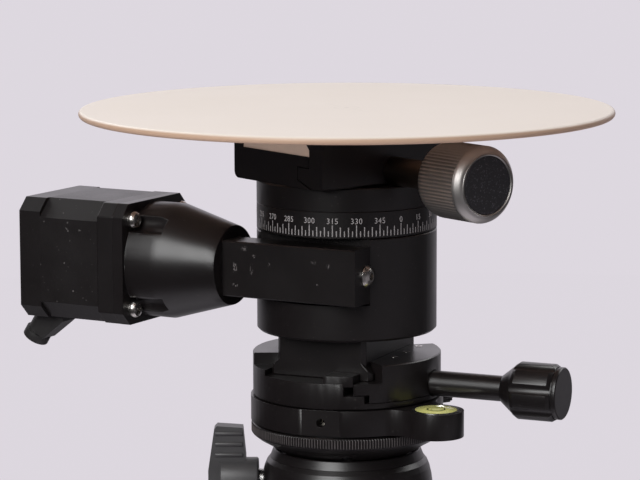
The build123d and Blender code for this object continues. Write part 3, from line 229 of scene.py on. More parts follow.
class Look:
    """One procedural material or world, built node by node."""

    def __init__(self, name, world=False):
        blocks = bpy.data.worlds if world else bpy.data.materials
        self.block = blocks.new(name)
        self.block.use_nodes = True
        self.tree = self.block.node_tree
        self.tree.nodes.clear()

    def node(self, kind, settings=None, inputs=None):
        """Adds a node: its settings first, then the values or links of its sockets."""
        made = self.tree.nodes.new(kind)
        for key, value in (settings or {}).items():
            setattr(made, key, value)
        for key, value in (inputs or {}).items():
            self.feed(made.inputs[key], value)
        return made

    def feed(self, socket, value):
        """Links a value to a socket, or sets it there."""
        if isinstance(value, Value):
            self.tree.links.new(value.socket, socket)
        elif isinstance(value, bpy.types.NodeSocket):
            self.tree.links.new(value, socket)
        elif socket.type == "RGBA" and len(value) == 3:
            socket.default_value = (*value, 1.0)
        else:
            socket.default_value = value

    def maths(self, operation, *operands):
        made = self.node("ShaderNodeMath", {"operation": operation}, dict(enumerate(operands)))
        return Value(self, made.outputs[0])

    def length(self, across, along):
        """Length of a flat vector of two numbers."""
        return self.maths("SQRT", across * across + along * along)

    def highest(self, masks):
        """Largest of several masks."""
        total = masks[0]
        for mask in masks[1:]:
            total = self.maths("MAXIMUM", total, mask)
        return total

    def step(self, value, low, high):
        """Smooth ramp from 0 at low to 1 at high."""
        made = self.node("ShaderNodeMapRange", {"interpolation_type": "SMOOTHSTEP"},
                         {"Value": value, "From Min": low, "From Max": high})
        return Value(self, made.outputs["Result"])

    def turned(self, vector, turn):
        """The vector turned back by an angle about Z, in degrees."""
        return self.node("ShaderNodeVectorRotate", {"rotation_type": "Z_AXIS"},
                         {"Vector": vector, "Angle": -math.radians(turn)}).outputs[0]

    def split(self, vector):
        """The three numbers of a vector."""
        return [Value(self, out) for out in self.node("ShaderNodeSeparateXYZ", None, {0: vector}).outputs]

    def place(self, turn=0.0, at=(0.0, 0.0, 0.0)):
        """Object coordinates about a point, turned about Z, as a vector socket and three numbers."""
        source = self.node("ShaderNodeTexCoord").outputs["Object"]
        moved = self.node("ShaderNodeVectorMath", {"operation": "SUBTRACT"}, {0: source, 1: at}).outputs[0]
        turned = self.turned(moved, turn)
        return turned, *self.split(turned)

    def spot(self):
        """Object coordinates as a vector socket alone."""
        return self.place()[0]

    def noise(self, vector, scale, detail=2.0, roughness=0.5):
        made = self.node("ShaderNodeTexNoise", None, {"Vector": vector, "Scale": scale, "Detail": detail,
                                                      "Roughness": roughness})
        return Value(self, made.outputs[0])

    def stretch(self, vector, scale):
        """The vector multiplied axis by axis."""
        return self.node("ShaderNodeVectorMath", {"operation": "MULTIPLY"}, {0: vector, 1: scale}).outputs[0]

    def blend(self, factor, first, second):
        """Mix of two colours."""
        made = self.node("ShaderNodeMix", {"data_type": "RGBA"}, None)
        for socket, value in ((made.inputs[0], factor), (made.inputs[6], first), (made.inputs[7], second)):
            self.feed(socket, value)
        return made.outputs[2]

    def clouded(self, spot, colour, scale, share, lift=0.004):
        """A dark colour that turns paler with a cloudy noise, and the noise itself."""
        cloud = self.noise(spot, scale, 3.0)
        return self.blend(cloud * share, colour, scaled(colour, 1.8, lift)), cloud

    def bump(self, height, distance, strength=1.0):
        return self.node("ShaderNodeBump", None, {"Height": height, "Distance": distance,
                                                  "Strength": strength}).outputs[0]

    def surface(self, **sockets):
        """Principled surface, its sockets named in lower case with underscores."""
        named = {key.replace("_", " ").title(): value for key, value in sockets.items()}
        shader = self.node("ShaderNodeBsdfPrincipled", None, named)
        self.node("ShaderNodeOutputMaterial", None, {"Surface": shader.outputs[0]})
        return self.block


def scaled(colour, factor, lift=0.0):
    """A colour times a factor, plus a lift."""
    return tuple(c * factor + lift for c in colour)


# Surfaces

def grid_mesh(name, points, cap_ends=False):
    """Mesh of a grid of points, rows along v and columns round u, closed on itself round u.
    The faces join each point to its neighbours. Where cap_ends is set, the first and the last row are closed
    by a fan to their own middle."""
    rows, columns = points.shape[:2]
    index = np.arange(rows * columns).reshape(rows, columns)
    right = np.roll(index, -1, axis=1)
    quads = np.stack([index[:-1], right[:-1], right[1:], index[1:]], axis=-1).reshape(-1, 4)
    vertices = points.reshape(-1, 3)
    loops = quads.ravel()
    sizes = np.full(len(quads), 4)
    if cap_ends:
        middles = np.stack([points[0].mean(axis=0), points[-1].mean(axis=0)])
        low, high = len(vertices), len(vertices) + 1
        vertices = np.vstack([vertices, middles])
        start, end = index[0], index[-1]
        fans = np.vstack([
            np.stack([np.full(columns, low), np.roll(start, -1), start], axis=-1),
            np.stack([np.full(columns, high), end, np.roll(end, -1)], axis=-1),
        ])
        loops = np.concatenate([loops, fans.ravel()])
        sizes = np.concatenate([sizes, np.full(len(fans), 3)])
    return mesh_of(name, vertices, loops, sizes)


def mesh_of(name, vertices, loops, sizes):
    """Smooth-shaded mesh from arrays of vertices, face corners and face sizes."""
    mesh = bpy.data.meshes.new(name)
    mesh.vertices.add(len(vertices))
    mesh.vertices.foreach_set("co", np.asarray(vertices, np.float32).ravel())
    mesh.loops.add(len(loops))
    mesh.loops.foreach_set("vertex_index", np.asarray(loops, np.int32))
    mesh.polygons.add(len(sizes))
    starts = np.concatenate([[0], np.cumsum(sizes)[:-1]])
    mesh.polygons.foreach_set("loop_start", starts.astype(np.int32))
    mesh.polygons.foreach_set("use_smooth", np.ones(len(sizes), bool))
    mesh.update(calc_edges=True)
    mesh.validate()
    return mesh


def eased(corners, steps=5):
    """Profile through (radius, height, easing) corners, each corner replaced by an arc.
    The arc of a corner is the quadratic curve from one easing length before it to one after it."""
    corners = np.asarray(corners, float)
    points, easing = corners[:, :2], corners[:, 2]
    result = []
    for i, point in enumerate(points):
        if easing[i] <= 0 or i in (0, len(points) - 1):
            result.append(point[None])
            continue
        before, after = points[i - 1] - point, points[i + 1] - point
        start = point + before / np.linalg.norm(before) * easing[i]
        end = point + after / np.linalg.norm(after) * easing[i]
        t = np.linspace(0, 1, steps)[:, None]
        result.append((1 - t) ** 2 * start + 2 * t * (1 - t) * point + t ** 2 * end)
    return np.vstack(result)


def turned_points(profile, segments, wave=None):
    """Grid of a profile turned about Z: x = r cos a, y = r sin a, z = height.
    wave, if given, is a function of (angle, row) that returns a change of radius."""
    angle = np.linspace(0, 2 * np.pi, segments, endpoint=False)
    radius = np.repeat(profile[:, :1], segments, axis=1)
    if wave is not None:
        radius = radius + wave(angle[None, :], np.arange(len(profile))[:, None])
    height = np.repeat(profile[:, 1:], segments, axis=1)
    return np.stack([radius * np.cos(angle), radius * np.sin(angle), height], axis=-1)


def lying(points, angle, height):
    """Grid turned so that its Z axis points outward at an angle in plan, at a height."""
    matrix = Matrix.Translation((0, 0, height)) @ Matrix.Rotation(math.radians(angle), 4, "Z")
    matrix = matrix @ Matrix.Rotation(math.radians(90), 4, "Y")
    a = np.array(matrix)
    return points @ a[:3, :3].T + a[:3, 3]


def piece(name, mesh, body, material, slot, *replaced):
    """Object of a mesh that rides on a body, wears a material and stands for nodes."""
    made = bpy.data.objects.new(name, mesh)
    bpy.context.scene.collection.objects.link(made)
    mesh.materials.append(material)
    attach(made, body)
    if replaced:
        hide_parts(*replaced)
    return made


def dress(material, *names):
    """Gives CAD nodes a material."""
    for name in names:
        mesh = NODES[name].data
        mesh.materials.clear()
        mesh.materials.append(material)


def ease_edges(width, *names):
    """Eases the sharp edges of CAD nodes with live modifiers."""
    for name in names:
        merged = NODES[name].modifiers.new("Merged corners", "WELD")
        merged.merge_threshold = WELD_GAP
        bevel = NODES[name].modifiers.new("Eased edges", "BEVEL")
        bevel.width = width
        bevel.segments = 3
        bevel.limit_method = "ANGLE"
        bevel.angle_limit = SHARP_FROM
        bevel.harden_normals = True


# Finishes

def anodised(name, colour, rough=0.30):
    """Black anodised aluminium: a near-black coat with a faint cloudy tone, fine grain and a little dust."""
    look = Look(name)
    spot = look.spot()
    base, cloud = look.clouded(spot, colour, CLOUDS, 0.35)
    fine = look.noise(spot, GRAIN)
    dust = look.noise(spot, 900.0, 1.0).above(0.74, 0.03)
    base = look.blend(dust * 0.05, base, (0.32, 0.30, 0.29))
    normal = look.bump(fine, 0.01 * MM)
    return look.surface(base_color=base, roughness=rough + (cloud - 0.5) * 0.12 + fine * 0.05, normal=normal)


def knurled(name, colour, crest_radius, crest):
    """Black anodised teeth whose crests, the points beyond a radius about Z, are lighter: partly wear, partly a
    painted highlight on the teeth.
    """
    look = Look(name)
    spot, x, y, z = look.place()
    cloud = look.noise(spot, 300.0)
    worn = look.length(x, y).above(crest_radius, 0.06 * MM)
    # The lighter crest tone is partly wear and partly a painted highlight standing for glints on the teeth.
    base = look.blend(worn * (0.4 + cloud), colour, crest)
    return look.surface(base_color=base, roughness=0.34 - worn * 0.06)


def laminated(name, colour):
    """Painted motor stack: lamination lines along the motor and small chips in the paint."""
    look = Look(name)
    spot, x, y, z = look.place()
    sheet = 0.5 * MM
    lines = (x * (1.0 / sheet)).fraction().below(0.16, 0.12)
    chips = look.noise(spot, 700.0).above(0.72, 0.02)
    base, cloud = look.clouded(spot, colour, 90.0, 0.5)
    base = look.blend(chips * 0.25, base, (0.25, 0.24, 0.23))
    normal = look.bump(lines * -1.0, 0.03 * MM, 0.35)
    return look.surface(base_color=base, roughness=0.34 + cloud * 0.12, normal=normal)


def cream(name, colour):
    """Satin cream disc: a very even tone, painted shade that turns the lower rim tan, a small centre mark and a
    hair-fine texture.
    The mark is a dot, a ring about it and a pencil line through both that is left out near the ring."""
    look = Look(name)
    spot, x, y, z = look.place()
    cloud = look.noise(spot, 26.0, 3.0)
    fine = look.noise(spot, 1400.0)
    radius = look.length(x, y)
    ring = (radius - RING_RADIUS).absolute().below(0.25 * MM, 0.15 * MM)
    dot = radius.below(DOT_RADIUS, 0.3 * MM)
    waver = (look.noise(spot, 120.0) - 0.5) * 0.6 * MM
    pencil = (y * 0.82 + x * 0.57 + waver).absolute().below(0.3 * MM, 0.25 * MM)
    pencil = pencil * radius.below(PENCIL_TO, 4 * MM) * radius.above(PENCIL_FROM, 1 * MM)
    marks = (ring * 0.5 + dot + pencil * 0.35) * z.above(MARKED_TOP, 0.05 * MM)
    base = look.blend(cloud * 0.5, colour, scaled(colour, 0.96))
    # Painted shade: below the rim height the cream turns tan, for the shade where the rounded rim curves under.
    base = look.blend(z.below(SHADED_RIM_TOP, 0.42 * MM) * 0.92, base, (0.44, 0.285, 0.185))
    base = look.blend(marks * 0.28, base, (0.42, 0.38, 0.33))
    normal = look.bump(fine, 0.01 * MM)
    return look.surface(base_color=base, roughness=0.38 + cloud * 0.1, normal=normal)


def metal(name, colour, rough, grain=0.006 * MM):
    """Bare metal: slight cloudiness in tone and roughness, with a fine blasted grain."""
    look = Look(name)
    spot = look.spot()
    cloud = look.noise(spot, 140.0, 3.0)
    fine = look.noise(spot, 1800.0)
    base = look.blend(cloud, colour, scaled(colour, 0.82))
    normal = look.bump(fine, grain)
    return look.surface(base_color=base, metallic=1.0, roughness=rough + (cloud - 0.5) * 0.1, normal=normal)


def speckled(name, colour, spark):
    """Dark inlay with fine bright flakes: flakes are the peaks of a fine noise."""
    look = Look(name)
    spot = look.spot()
    flake = look.noise(spot, 1500.0, 3.0, 0.7)
    bright = flake.above(0.63, 0.05)
    cloud = look.noise(spot, 160.0)
    base = look.blend(bright * (0.35 + cloud * 0.5), colour, spark)
    normal = look.bump(flake, 0.05 * MM)
    return look.surface(base_color=base, metallic=0.35, roughness=0.42 - bright * 0.15, normal=normal)


def scuffed_arm(name, colour):
    """Black anodised arm with pale scuffs on its front.
    Each scuff is an oval patch of fine broken threads that run up and down."""
    look = Look(name)
    spot, x, y, z = look.place()
    base, cloud = look.clouded(spot, colour, CLOUDS, 0.35)
    threads = look.noise(look.stretch(spot, (1.0, 1.0, 0.45)), 2400.0, 3.0, 0.75).above(0.55, 0.05)
    patches = []
    for at_x, at_z, wide, tall, strength in SCUFFS:
        across, up = (x - at_x * MM) / (wide * MM), (z - at_z * MM) / (tall * MM)
        patches.append(look.length(across, up).below(0.55, 0.45) * strength)
    front = y.below(ARM_FRONT, 0.1 * MM)
    base = look.blend(look.highest(patches) * threads * front, base, (0.34, 0.32, 0.31))
    normal = look.bump(look.noise(spot, GRAIN), 0.01 * MM)
    return look.surface(base_color=base, roughness=0.30 + cloud * 0.1, normal=normal)


def scale_ring(name, colour, ink):
    """Black ring with its degree lines printed on.
    A line stands where the angle is near a multiple of its step, and runs up to the height of its kind."""
    look = Look(name)
    spot, x, y, z = look.place(SCALE_ANGLE)
    degrees = look.maths("ARCTAN2", y, x) * (180.0 / math.pi)
    half = LINE_HALF / SCALE_RADIUS * 180 / math.pi
    soft = LINE_SOFT / SCALE_RADIUS * 180 / math.pi
    lines = []
    for every, top in SCALE_LINES:
        off = ((degrees / every + 0.5).fraction() - 0.5).absolute() * every
        height = z.above(SCALE_FOOT * MM, 0.04 * MM) * z.below(top * MM, 0.04 * MM)
        lines.append(off.below(half, soft) * height)
    outside = look.length(x, y).above((SCALE_RADIUS - 0.15) * MM, 0.05 * MM)
    base, cloud = look.clouded(spot, colour, CLOUDS, 0.35)
    base = look.blend(look.highest(lines) * outside * 0.85, base, ink)
    normal = look.bump(look.noise(spot, GRAIN), 0.01 * MM)
    return look.surface(base_color=base, roughness=0.32 + cloud * 0.1, normal=normal)


def printed(name, ink):
    """White scale print, slightly uneven."""
    look = Look(name)
    worn = look.noise(look.spot(), 1500.0)
    base = look.blend(worn * 0.5, ink, scaled(ink, 0.6))
    return look.surface(base_color=base, roughness=0.6 + worn * 0.2)


def level_liquid(name, at, colour):
    """Top of the bubble level: yellow-green liquid, a black circle and the edge of the bubble.
    The circle stands where the distance from the middle is near its radius, the edge where that from the
    bubble's own middle is."""
    look = Look(name)
    spot, x, y, z = look.place(0.0, at)
    radius = look.length(x, y)
    circle = (radius - LEVEL_CIRCLE).absolute().below(0.27 * MM, 0.06 * MM)
    off = look.length(x - BUBBLE_AT[0], y - BUBBLE_AT[1])
    rim = (off - LEVEL_BUBBLE).absolute().below(0.13 * MM, 0.08 * MM)
    inside = off.below(LEVEL_BUBBLE, 0.1 * MM)
    depth = radius / LEVEL_GLASS
    base = look.blend(depth * depth, colour, scaled(colour, 0.72))
    base = look.blend(inside * 0.25, base, (0.92, 0.95, 0.62))
    base = look.blend(rim * 0.55, base, (0.16, 0.20, 0.03))
    base = look.blend(circle * 0.95, base, (0.012, 0.014, 0.004))
    cloud = look.noise(spot, 300.0)
    return look.surface(base_color=base, roughness=0.16 + cloud * 0.08, coat_weight=0.6)


def moulded(name, colour, rough=0.5, scale=1200.0):
    """Moulded plastic or rubber: one tone with a fine even texture."""
    look = Look(name)
    spot = look.spot()
    base, cloud = look.clouded(spot, colour, 80.0, 0.5, 0.008)
    normal = look.bump(look.noise(spot, scale), 0.02 * MM)
    return look.surface(base_color=base, roughness=rough + (cloud - 0.5) * 0.15, normal=normal)


# Properties

def colour_setting(name, description, default):
    """Property of a colour."""
    return FloatVectorProperty(name=name, description=description, subtype="COLOR", size=3, min=0, max=1,
                               default=default)


def length_setting(name, description, default):
    """Property of a length, in metres."""
    return FloatProperty(name=name, description=description, unit="LENGTH", default=default)


def angle_setting(name, description, degrees):
    """Property of an angle, its default given in degrees."""
    return FloatProperty(name=name, description=description, subtype="ANGLE", default=math.radians(degrees))


class FinishProperties(bpy.types.PropertyGroup):
    """Colours of the finishes."""

    black: colour_setting("Black anodising", "Base tone of the black parts", (0.0060, 0.0046, 0.0047))
    cream: colour_setting("Cream disc", "Tone of the table disc", (0.80, 0.72, 0.63))
    silver: colour_setting("Silver knob", "Tone of the blasted aluminium", (0.60, 0.575, 0.555))
    ink: colour_setting("Scale print", "Tone of the printed degrees", (0.42, 0.41, 0.40))
    liquid: colour_setting("Level liquid", "Tone of the liquid in the level", (1.0, 1.0, 0.34))


class KnurlProperties(bpy.types.PropertyGroup):
    """Counts and depths of the knurls."""

    knob_teeth: IntProperty(name="Knob ridges", description="Ridges round the silver knob", default=64, min=12)
    plate_teeth: IntProperty(name="Plate teeth", description="Fine teeth round the head plate", default=208,
                             min=24)
    knob_depth: length_setting("Ridge depth", "Depth of the knob's ridges", 0.55 * MM)
    plate_depth: length_setting("Tooth depth", "Depth of the plate's teeth", 0.38 * MM)


class StudioProperties(bpy.types.PropertyGroup):
    """Camera and backdrop."""

    distance: length_setting("Distance", "Camera to turning axis, level with the floor", 1.02372)
    azimuth: angle_setting("Azimuth", "Angle of the camera round the object", CAMERA_AZIMUTH)
    heading: angle_setting("Heading", "Heading of the camera's line of sight", 29.29)
    height: length_setting("Height", "Camera above the part's origin", 0.26422)
    pitch: angle_setting("Pitch", "Tilt of the camera below the horizon", 8.43)
    roll: angle_setting("Roll", "Turn of the camera about its line of sight", 0.15)
    lens: FloatProperty(name="Lens", description="Focal length on a 36 mm sensor, in millimetres",
                        default=167.86)
    backdrop: colour_setting("Backdrop", "Tone of the backdrop", (0.72, 0.68, 0.735))


class TurntableProperties(bpy.types.PropertyGroup):
    """All settings of the dressing."""

    finish: PointerProperty(type=FinishProperties)
    knurl: PointerProperty(type=KnurlProperties)
    studio: PointerProperty(type=StudioProperties)


# Operators

class TURNTABLE_OT_machined_parts(bpy.types.Operator):
    """Give the machined black parts their anodising"""

    bl_idname = "turntable.machined_parts"
    bl_label = "Machined parts"

    def execute(self, context):
        black = tuple(context.scene.turntable.finish.black)
        dress(anodised("Black anodising", black), "upper_clamp_base", "upper_clamp_jaw", "platform",
              "rotator_body", "rotator_cover", "motor_cone", "seat_plate", "lower_clamp_base",
              "lower_clamp_jaw", "pan_base", "head_plate", "column_collar", "collar_cap", "lower_knob",
              "pan_lock_knob")
        ease_edges(MACHINED_EDGE, "upper_clamp_base", "upper_clamp_jaw", "motor_cone", "seat_plate",
                   "lower_clamp_base", "lower_clamp_jaw", "pan_base", "lower_knob")
        dress(anodised("Black oxide", black), "lower_clamp_screw", "upper_clamp_bolts", "underside_screws")
        # The stem's brown metal tone is partly its own bronze tint and partly a painted reflection of the cream
        # disc above.
        dress(metal("Bronze stem with painted reflection", (0.22, 0.175, 0.14), 0.32), "upper_clamp_screw")
        dress(metal("Oiled screws", (0.30, 0.28, 0.24), 0.25), "grub_screws")
        dress(scuffed_arm("Scuffed anodising", black), "worm_arm")
        ease_edges(SOFT_EDGE, "worm_arm")
        return {"FINISHED"}


class TURNTABLE_OT_disc(bpy.types.Operator):
    """Make the cream disc with its rounded rim, and dress the rail and the column's tube"""

    bl_idname = "turntable.disc"
    bl_label = "Disc"

    def execute(self, context):
        finish = context.scene.turntable.finish
        low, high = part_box("table_disc")
        radius, middle = high.x, (low.z + high.z) / 2
        half = (high.z - low.z) / 2
        angle = np.linspace(-np.pi / 2, np.pi / 2, 25)
        rim = np.stack([radius - half + half * np.cos(angle), middle + half * np.sin(angle)], axis=-1)
        profile = np.vstack([[POLE, low.z], [radius * 0.5, low.z], rim, [radius * 0.5, high.z], [POLE, high.z]])
        mesh = grid_mesh("table_disc_round", turned_points(profile, 360), cap_ends=True)
        satin = cream("Satin cream", tuple(finish.cream))
        piece("table_disc_round", mesh, "turntable", satin, "cream_disc", "table_disc")
        dress(metal("Bare aluminium", (0.55, 0.50, 0.45), 0.4), "column_tube")
        # The rail's tone is the disc's cream darkened to tan: painted shade of the rail under the disc.
        dress(moulded("Rail in painted shade", (0.62, 0.50, 0.38), 0.42), "dovetail_rail")
        ease_edges(RAIL_EDGE, "dovetail_rail")
        return {"FINISHED"}


class TURNTABLE_OT_silver_knob(bpy.types.Operator):
    """Make the silver knob with its straight knurl and dress the inlay"""

    bl_idname = "turntable.silver_knob"
    bl_label = "Silver knob"

    def execute(self, context):
        settings = context.scene.turntable
        low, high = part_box("upper_knob")
        height = (low.z + high.z) / 2
        radius = (high.z - low.z) / 2
        profile, first, last = self.profile(radius, settings.knurl.knob_depth)
        teeth, depth = settings.knurl.knob_teeth, settings.knurl.knob_depth

        def ridges(angle, row):
            """Depth below the crest: a power of |cos| of half the tooth angle, so that the ridges are round
            and the valleys sharp. It fades out over the last row at each end."""
            inside = (row >= first) & (row <= last)
            fade = np.clip(np.minimum(row - first + 0.2, last - row), 0, 1)
            valley = np.abs(np.cos(angle * teeth / 2)) ** 1.6
            return np.where(inside, -depth * (1 - fade + fade * valley), 0.0)

        points = lying(turned_points(profile, teeth * 12, ridges), UPPER_ANGLE, height)
        silver = metal("Blasted silver", tuple(settings.finish.silver), 0.46, 0.012 * MM)
        mesh = grid_mesh("upper_knob_knurled", points)
        piece("upper_knob_knurled", mesh, "upper_clamp_knob", silver, "silver_knob", "upper_knob")
        dress(speckled("Speckled inlay", (0.024, 0.023, 0.025), (0.20, 0.19, 0.21)), "upper_knob_inlay")
        return {"FINISHED"}

    def profile(self, radius, depth):
        """The knob's (radius, height) outline from its bore over the back, the band and the softened rim to
        the inlay's seat, and the first and the last row of the band."""
        start, end = KNOB_START, KNOB_END
        band_start, band_end = start + 1.0 * MM, end - 2.7 * MM
        bore_depth, chamfer, lip = 8 * MM, 1.3 * MM, 0.5 * MM
        back = eased([(KNOB_BORE, start + bore_depth, 0), (KNOB_BORE, start, 0),
                      (radius - chamfer, start, 0.4 * MM), (radius - depth, band_start, 0)])
        along = np.linspace(band_start, band_end, KNOB_BAND_ROWS)
        band = np.stack([np.full_like(along, radius), along], axis=-1)
        front = eased([(radius, band_end, 0), (radius, end - KNOB_RIM_LENGTH, 0.8 * MM),
                       (radius - KNOB_RIM_WIDTH, end, 1.2 * MM), (KNOB_SEAT + 0.45 * MM, end, 0.4 * MM),
                       (KNOB_SEAT, end - lip, 0.15 * MM), (KNOB_SEAT, end - KNOB_SEAT_DEPTH, 0),
                       (KNOB_SEAT_BORE, end - KNOB_SEAT_DEPTH, 0)], 9)
        return np.vstack([back, band, front]), len(back), len(back) + len(band) - 1


class TURNTABLE_OT_scale(bpy.types.Operator):
    """Print the degree ring: lines in its finish, numbers as thin raised shapes"""

    bl_idname = "turntable.scale"
    bl_label = "Degree scale"

    def execute(self, context):
        finish = context.scene.turntable.finish
        dress(scale_ring("Printed ring", tuple(finish.black), tuple(finish.ink)), "degree_ring")
        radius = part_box("degree_ring")[1].x
        parts = [self.number(context, number, radius) for number in range(0, 360, NUMBER_STEP)]
        offsets = np.cumsum([0] + [len(p[0]) for p in parts[:-1]])
        vertices = np.vstack([p[0] for p in parts])
        loops = np.concatenate([p[1] + o for p, o in zip(parts, offsets)])
        sizes = np.concatenate([p[2] for p in parts])
        mesh = mesh_of("degree_numbers", vertices, loops, sizes)
        piece("degree_numbers", mesh, "turntable", printed("Scale print", tuple(finish.ink)), "black_anodised")
        return {"FINISHED"}

    def number(self, context, number, radius):
        """Vertices, face corners and face sizes of one number, wrapped round the ring.
        A point's distance across becomes an angle about Z, its thickness a change of radius."""
        curve = bpy.data.curves.new("digits", "FONT")
        curve.body = str(number)
        curve.size = NUMBER_SIZE
        curve.align_x = "CENTER"
        curve.extrude = NUMBER_PROUD
        curve.resolution_u = 3
        curve.space_character = 1.08
        holder = bpy.data.objects.new("digits", curve)
        bpy.context.scene.collection.objects.link(holder)
        flat = bpy.data.meshes.new_from_object(holder.evaluated_get(context.evaluated_depsgraph_get()))
        bpy.data.objects.remove(holder)
        co = np.empty(len(flat.vertices) * 3, np.float32)
        flat.vertices.foreach_get("co", co)
        co = co.reshape(-1, 3).astype(float)
        loops = np.empty(len(flat.loops), np.int32)
        flat.loops.foreach_get("vertex_index", loops)
        sizes = np.empty(len(flat.polygons), np.int32)
        flat.polygons.foreach_get("loop_total", sizes)
        angle = math.radians(SCALE_ANGLE + number) + co[:, 0] * NUMBER_NARROWING / radius
        reach = radius + co[:, 2]
        wrapped = np.stack([reach * np.cos(angle), reach * np.sin(angle), NUMBER_FOOT + co[:, 1]], axis=-1)
        return wrapped, loops, sizes


class TURNTABLE_OT_motor(bpy.types.Operator):
    """Dress the motor, its connector and the parts inside it"""

    bl_idname = "turntable.motor"
    bl_label = "Motor"

    def execute(self, context):
        black = tuple(context.scene.turntable.finish.black)
        dress(anodised("Motor caps", black, rough=0.34), "motor_front_cap", "motor_rear_cap")
        dress(laminated("Painted stack", black), "motor_stator")
        ease_edges(SOFT_EDGE, "motor_front_cap", "motor_rear_cap")
        dress(moulded("Connector plastic", (0.012, 0.011, 0.011)), "connector_inlet")
        ease_edges(PLASTIC_EDGE, "connector_inlet")
        dress(metal("Copper windings", (0.60, 0.26, 0.12), 0.35), "motor_coils")
        return {"FINISHED"}


class TURNTABLE_OT_hardware(bpy.types.Operator):
    """Dress the bright screws, the bearings, the wheel and the other inner parts"""

    bl_idname = "turntable.hardware"
    bl_label = "Hardware"

    def execute(self, context):
        dress(metal("Bright screws", (0.66, 0.63, 0.60), 0.26), "arm_screws", "arm_end_screw", "flange_screws",
              "motor_long_screws", "jaw_set_screws")
        ease_edges(SCREW_EDGE, "flange_screws", "arm_end_screw")
        dress(metal("Ground steel", (0.55, 0.54, 0.53), 0.28), "upper_guide_pins", "upper_springs",
              "lower_guide_pins", "spindle_nut", "table_bearing_outer", "table_bearing_inner",
              "table_bearing_balls", "drive_bearing_outer", "drive_bearing_inner", "worm_shaft",
              "shaft_coupling", "motor_rotor", "head_stud", "wing_shaft")
        dress(metal("Bronze wheel", (0.60, 0.42, 0.18), 0.33), "worm_wheel")
        return {"FINISHED"}


class TURNTABLE_OT_level(bpy.types.Operator):
    """Dress the level in the lug of the panning base"""

    bl_idname = "turntable.level"
    bl_label = "Level"

    def execute(self, context):
        finish = context.scene.turntable.finish
        low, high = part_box("level_vial")
        at = ((low.x + high.x) / 2, (low.y + high.y) / 2, 0.0)
        dress(level_liquid("Level liquid", at, tuple(finish.liquid)), "level_vial")
        dress(metal("Level rim", (0.80, 0.80, 0.78), 0.22), "level_rim")
        return {"FINISHED"}


class TURNTABLE_OT_plate_knurl(bpy.types.Operator):
    """Wrap the fine knurled band round the head plate"""

    bl_idname = "turntable.plate_knurl"
    bl_label = "Plate knurl"

    def execute(self, context):
        settings = context.scene.turntable
        teeth, depth = settings.knurl.plate_teeth, settings.knurl.plate_depth
        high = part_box("head_plate")[1]
        foot, top = BAND_FOOT, high.z - BAND_BELOW_TOP
        inner, outer = high.x - BAND_ROOT, high.x + BAND_PROUD
        rim = outer - BAND_CHAMFER
        along = np.linspace(foot + BAND_CHAMFER_TALL, top - BAND_CHAMFER_TALL, BAND_ROWS)
        face = np.stack([np.full_like(along, outer), along], axis=-1)
        profile = np.vstack([[inner, foot], [rim, foot], face, [rim, top], [inner, top]])

        def fine(angle, row):
            """Depth below the crest of a sharp tooth, a power of |cos| of half the tooth angle, on the rows
            of the outer face only."""
            inside = (row >= 2) & (row <= 1 + BAND_ROWS)
            return np.where(inside, -depth * np.abs(np.cos(angle * teeth / 2)) ** 1.3, 0.0)

        band = turned_points(profile, teeth * 8, fine)
        mesh = grid_mesh("head_plate_knurl", np.concatenate([band, band[:1]]))
        # The crest tone is partly wear and partly painted highlight.
        crests = knurled("Knurled anodising", tuple(settings.finish.black), outer - 0.12 * MM,
                         (0.095, 0.085, 0.083))
        piece("head_plate_knurl", mesh, "centre_column", crests, "black_anodised")
        return {"FINISHED"}


class TURNTABLE_OT_column_lock(bpy.types.Operator):
    """Dress the plastic and rubber of the column and its lock"""

    bl_idname = "turntable.column_lock"
    bl_label = "Column lock"

    def execute(self, context):
        dress(moulded("Wing plastic", (0.040, 0.039, 0.040), 0.42), "wing_knob", "column_bush", "lock_shoe",
              "pan_lock_pad", "column_foot")
        ease_edges(WING_EDGE, "wing_knob")
        dress(moulded("Rubber pad", (0.014, 0.014, 0.014), 0.75, 600.0), "rubber_pad")
        return {"FINISHED"}


